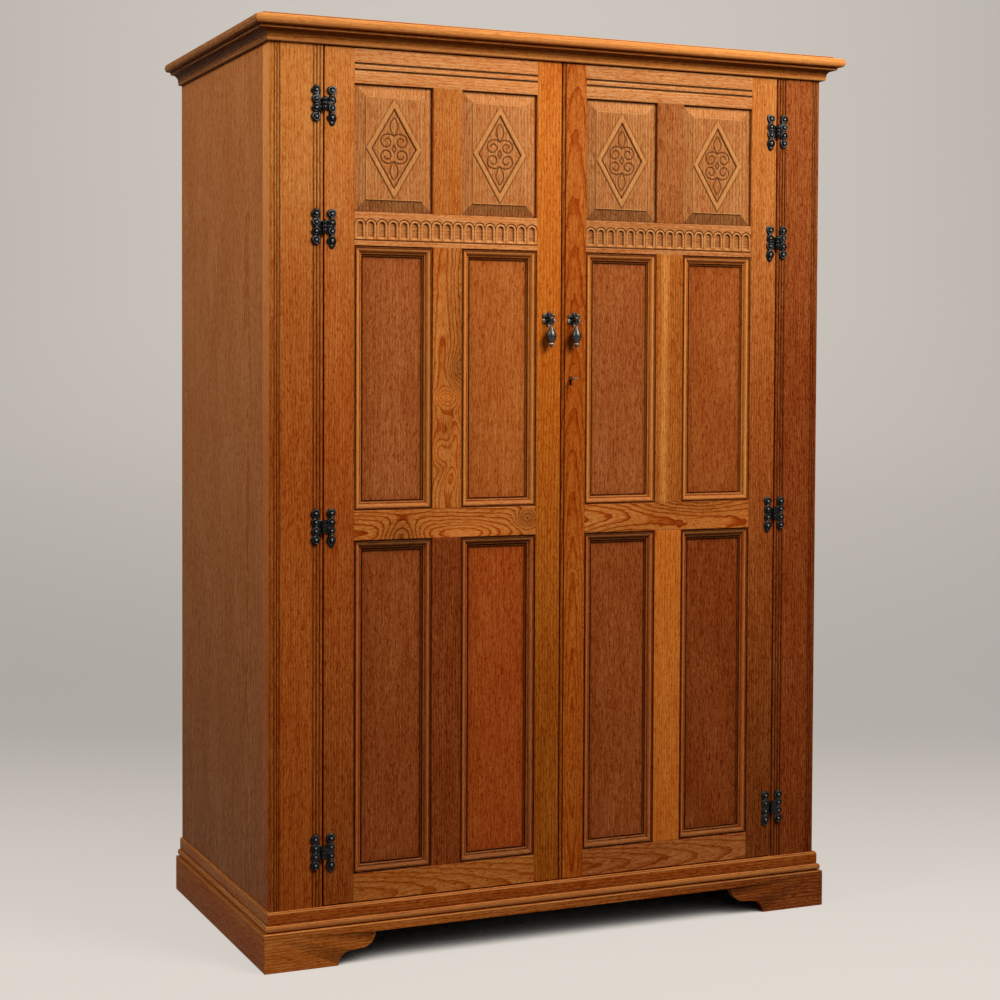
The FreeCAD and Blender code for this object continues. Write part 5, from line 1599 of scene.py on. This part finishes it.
    def camera(self, scene):
        """Camera at the photograph's place: its angles, focal length and centre come from matched corners."""
        data = bpy.data.cameras.new("camera")
        data.sensor_width = self.sensor
        data.lens = self.focal / self.photo * self.sensor
        data.shift_x = (self.photo / 2 - self.centre[0]) / self.photo
        data.shift_y = (self.centre[1] - self.photo / 2) / self.photo
        camera = bpy.data.objects.new("camera", data)
        level = math.cos(self.pitch)
        ahead = (math.sin(self.yaw) * level, math.cos(self.yaw) * level, -math.sin(self.pitch))
        camera.matrix_world = looking(ahead, self.roll, self.place)
        scene.collection.objects.link(camera)
        scene.camera = camera


def looking(ahead, roll, place):
    """Placement that looks along a direction with its top up, turned by a roll about that direction."""
    ahead = np.asarray(ahead, float) / np.linalg.norm(ahead)
    right = np.cross(ahead, (0, 0, 1))
    right /= np.linalg.norm(right)
    top = np.cross(right, ahead)
    level, tilt = math.cos(roll), math.sin(roll)
    matrix = np.eye(4)
    matrix[:3, 0] = level * right + tilt * top
    matrix[:3, 1] = level * top - tilt * right
    matrix[:3, 2] = -ahead
    matrix[:3, 3] = place
    return Matrix(matrix.tolist())


OPERATORS = (
    WARDROBE_OT_posts,
    WARDROBE_OT_cornice,
    WARDROBE_OT_base_moulding,
    WARDROBE_OT_plinth,
    WARDROBE_OT_door_frames,
    WARDROBE_OT_arcade_rails,
    WARDROBE_OT_carved_panels,
    WARDROBE_OT_plain_panels,
    WARDROBE_OT_hinges,
    WARDROBE_OT_pulls,
    WARDROBE_OT_fittings,
    WARDROBE_OT_stage,
)
GROUPS = (("wardrobe_oak", WardrobeOak), ("wardrobe_metal", WardrobeMetal), ("wardrobe_stage", WardrobeStage))


class WARDROBE_PT_panel(bpy.types.Panel):
    """Sidebar list of the wardrobe's settings and pieces"""
    bl_idname = "WARDROBE_PT_panel"
    bl_label = "Panelled Wardrobe"
    bl_space_type = "VIEW_3D"
    bl_region_type = "UI"
    bl_category = "Wardrobe"

    def draw(self, context):
        for key, group in GROUPS:
            box = self.layout.box()
            for label in group.__annotations__:
                box.prop(getattr(context.scene, key), label)
        for operator in OPERATORS:
            self.layout.operator(operator.bl_idname)


def register():
    """Register every class and hang the settings on the scene."""
    for key, group in GROUPS:
        bpy.utils.register_class(group)
        setattr(bpy.types.Scene, key, bpy.props.PointerProperty(type=group))
    for operator in OPERATORS:
        bpy.utils.register_class(operator)
    bpy.utils.register_class(WARDROBE_PT_panel)


def unregister():
    """Take everything back in the opposite order."""
    bpy.utils.unregister_class(WARDROBE_PT_panel)
    for operator in reversed(OPERATORS):
        bpy.utils.unregister_class(operator)
    for key, group in reversed(GROUPS):
        delattr(bpy.types.Scene, key)
        bpy.utils.unregister_class(group)


def main():
    """Build every piece."""
    register()
    for operator in OPERATORS:
        group, call = operator.bl_idname.split(".")
        getattr(getattr(bpy.ops, group), call)()


if __name__ == "__main__":
    main()
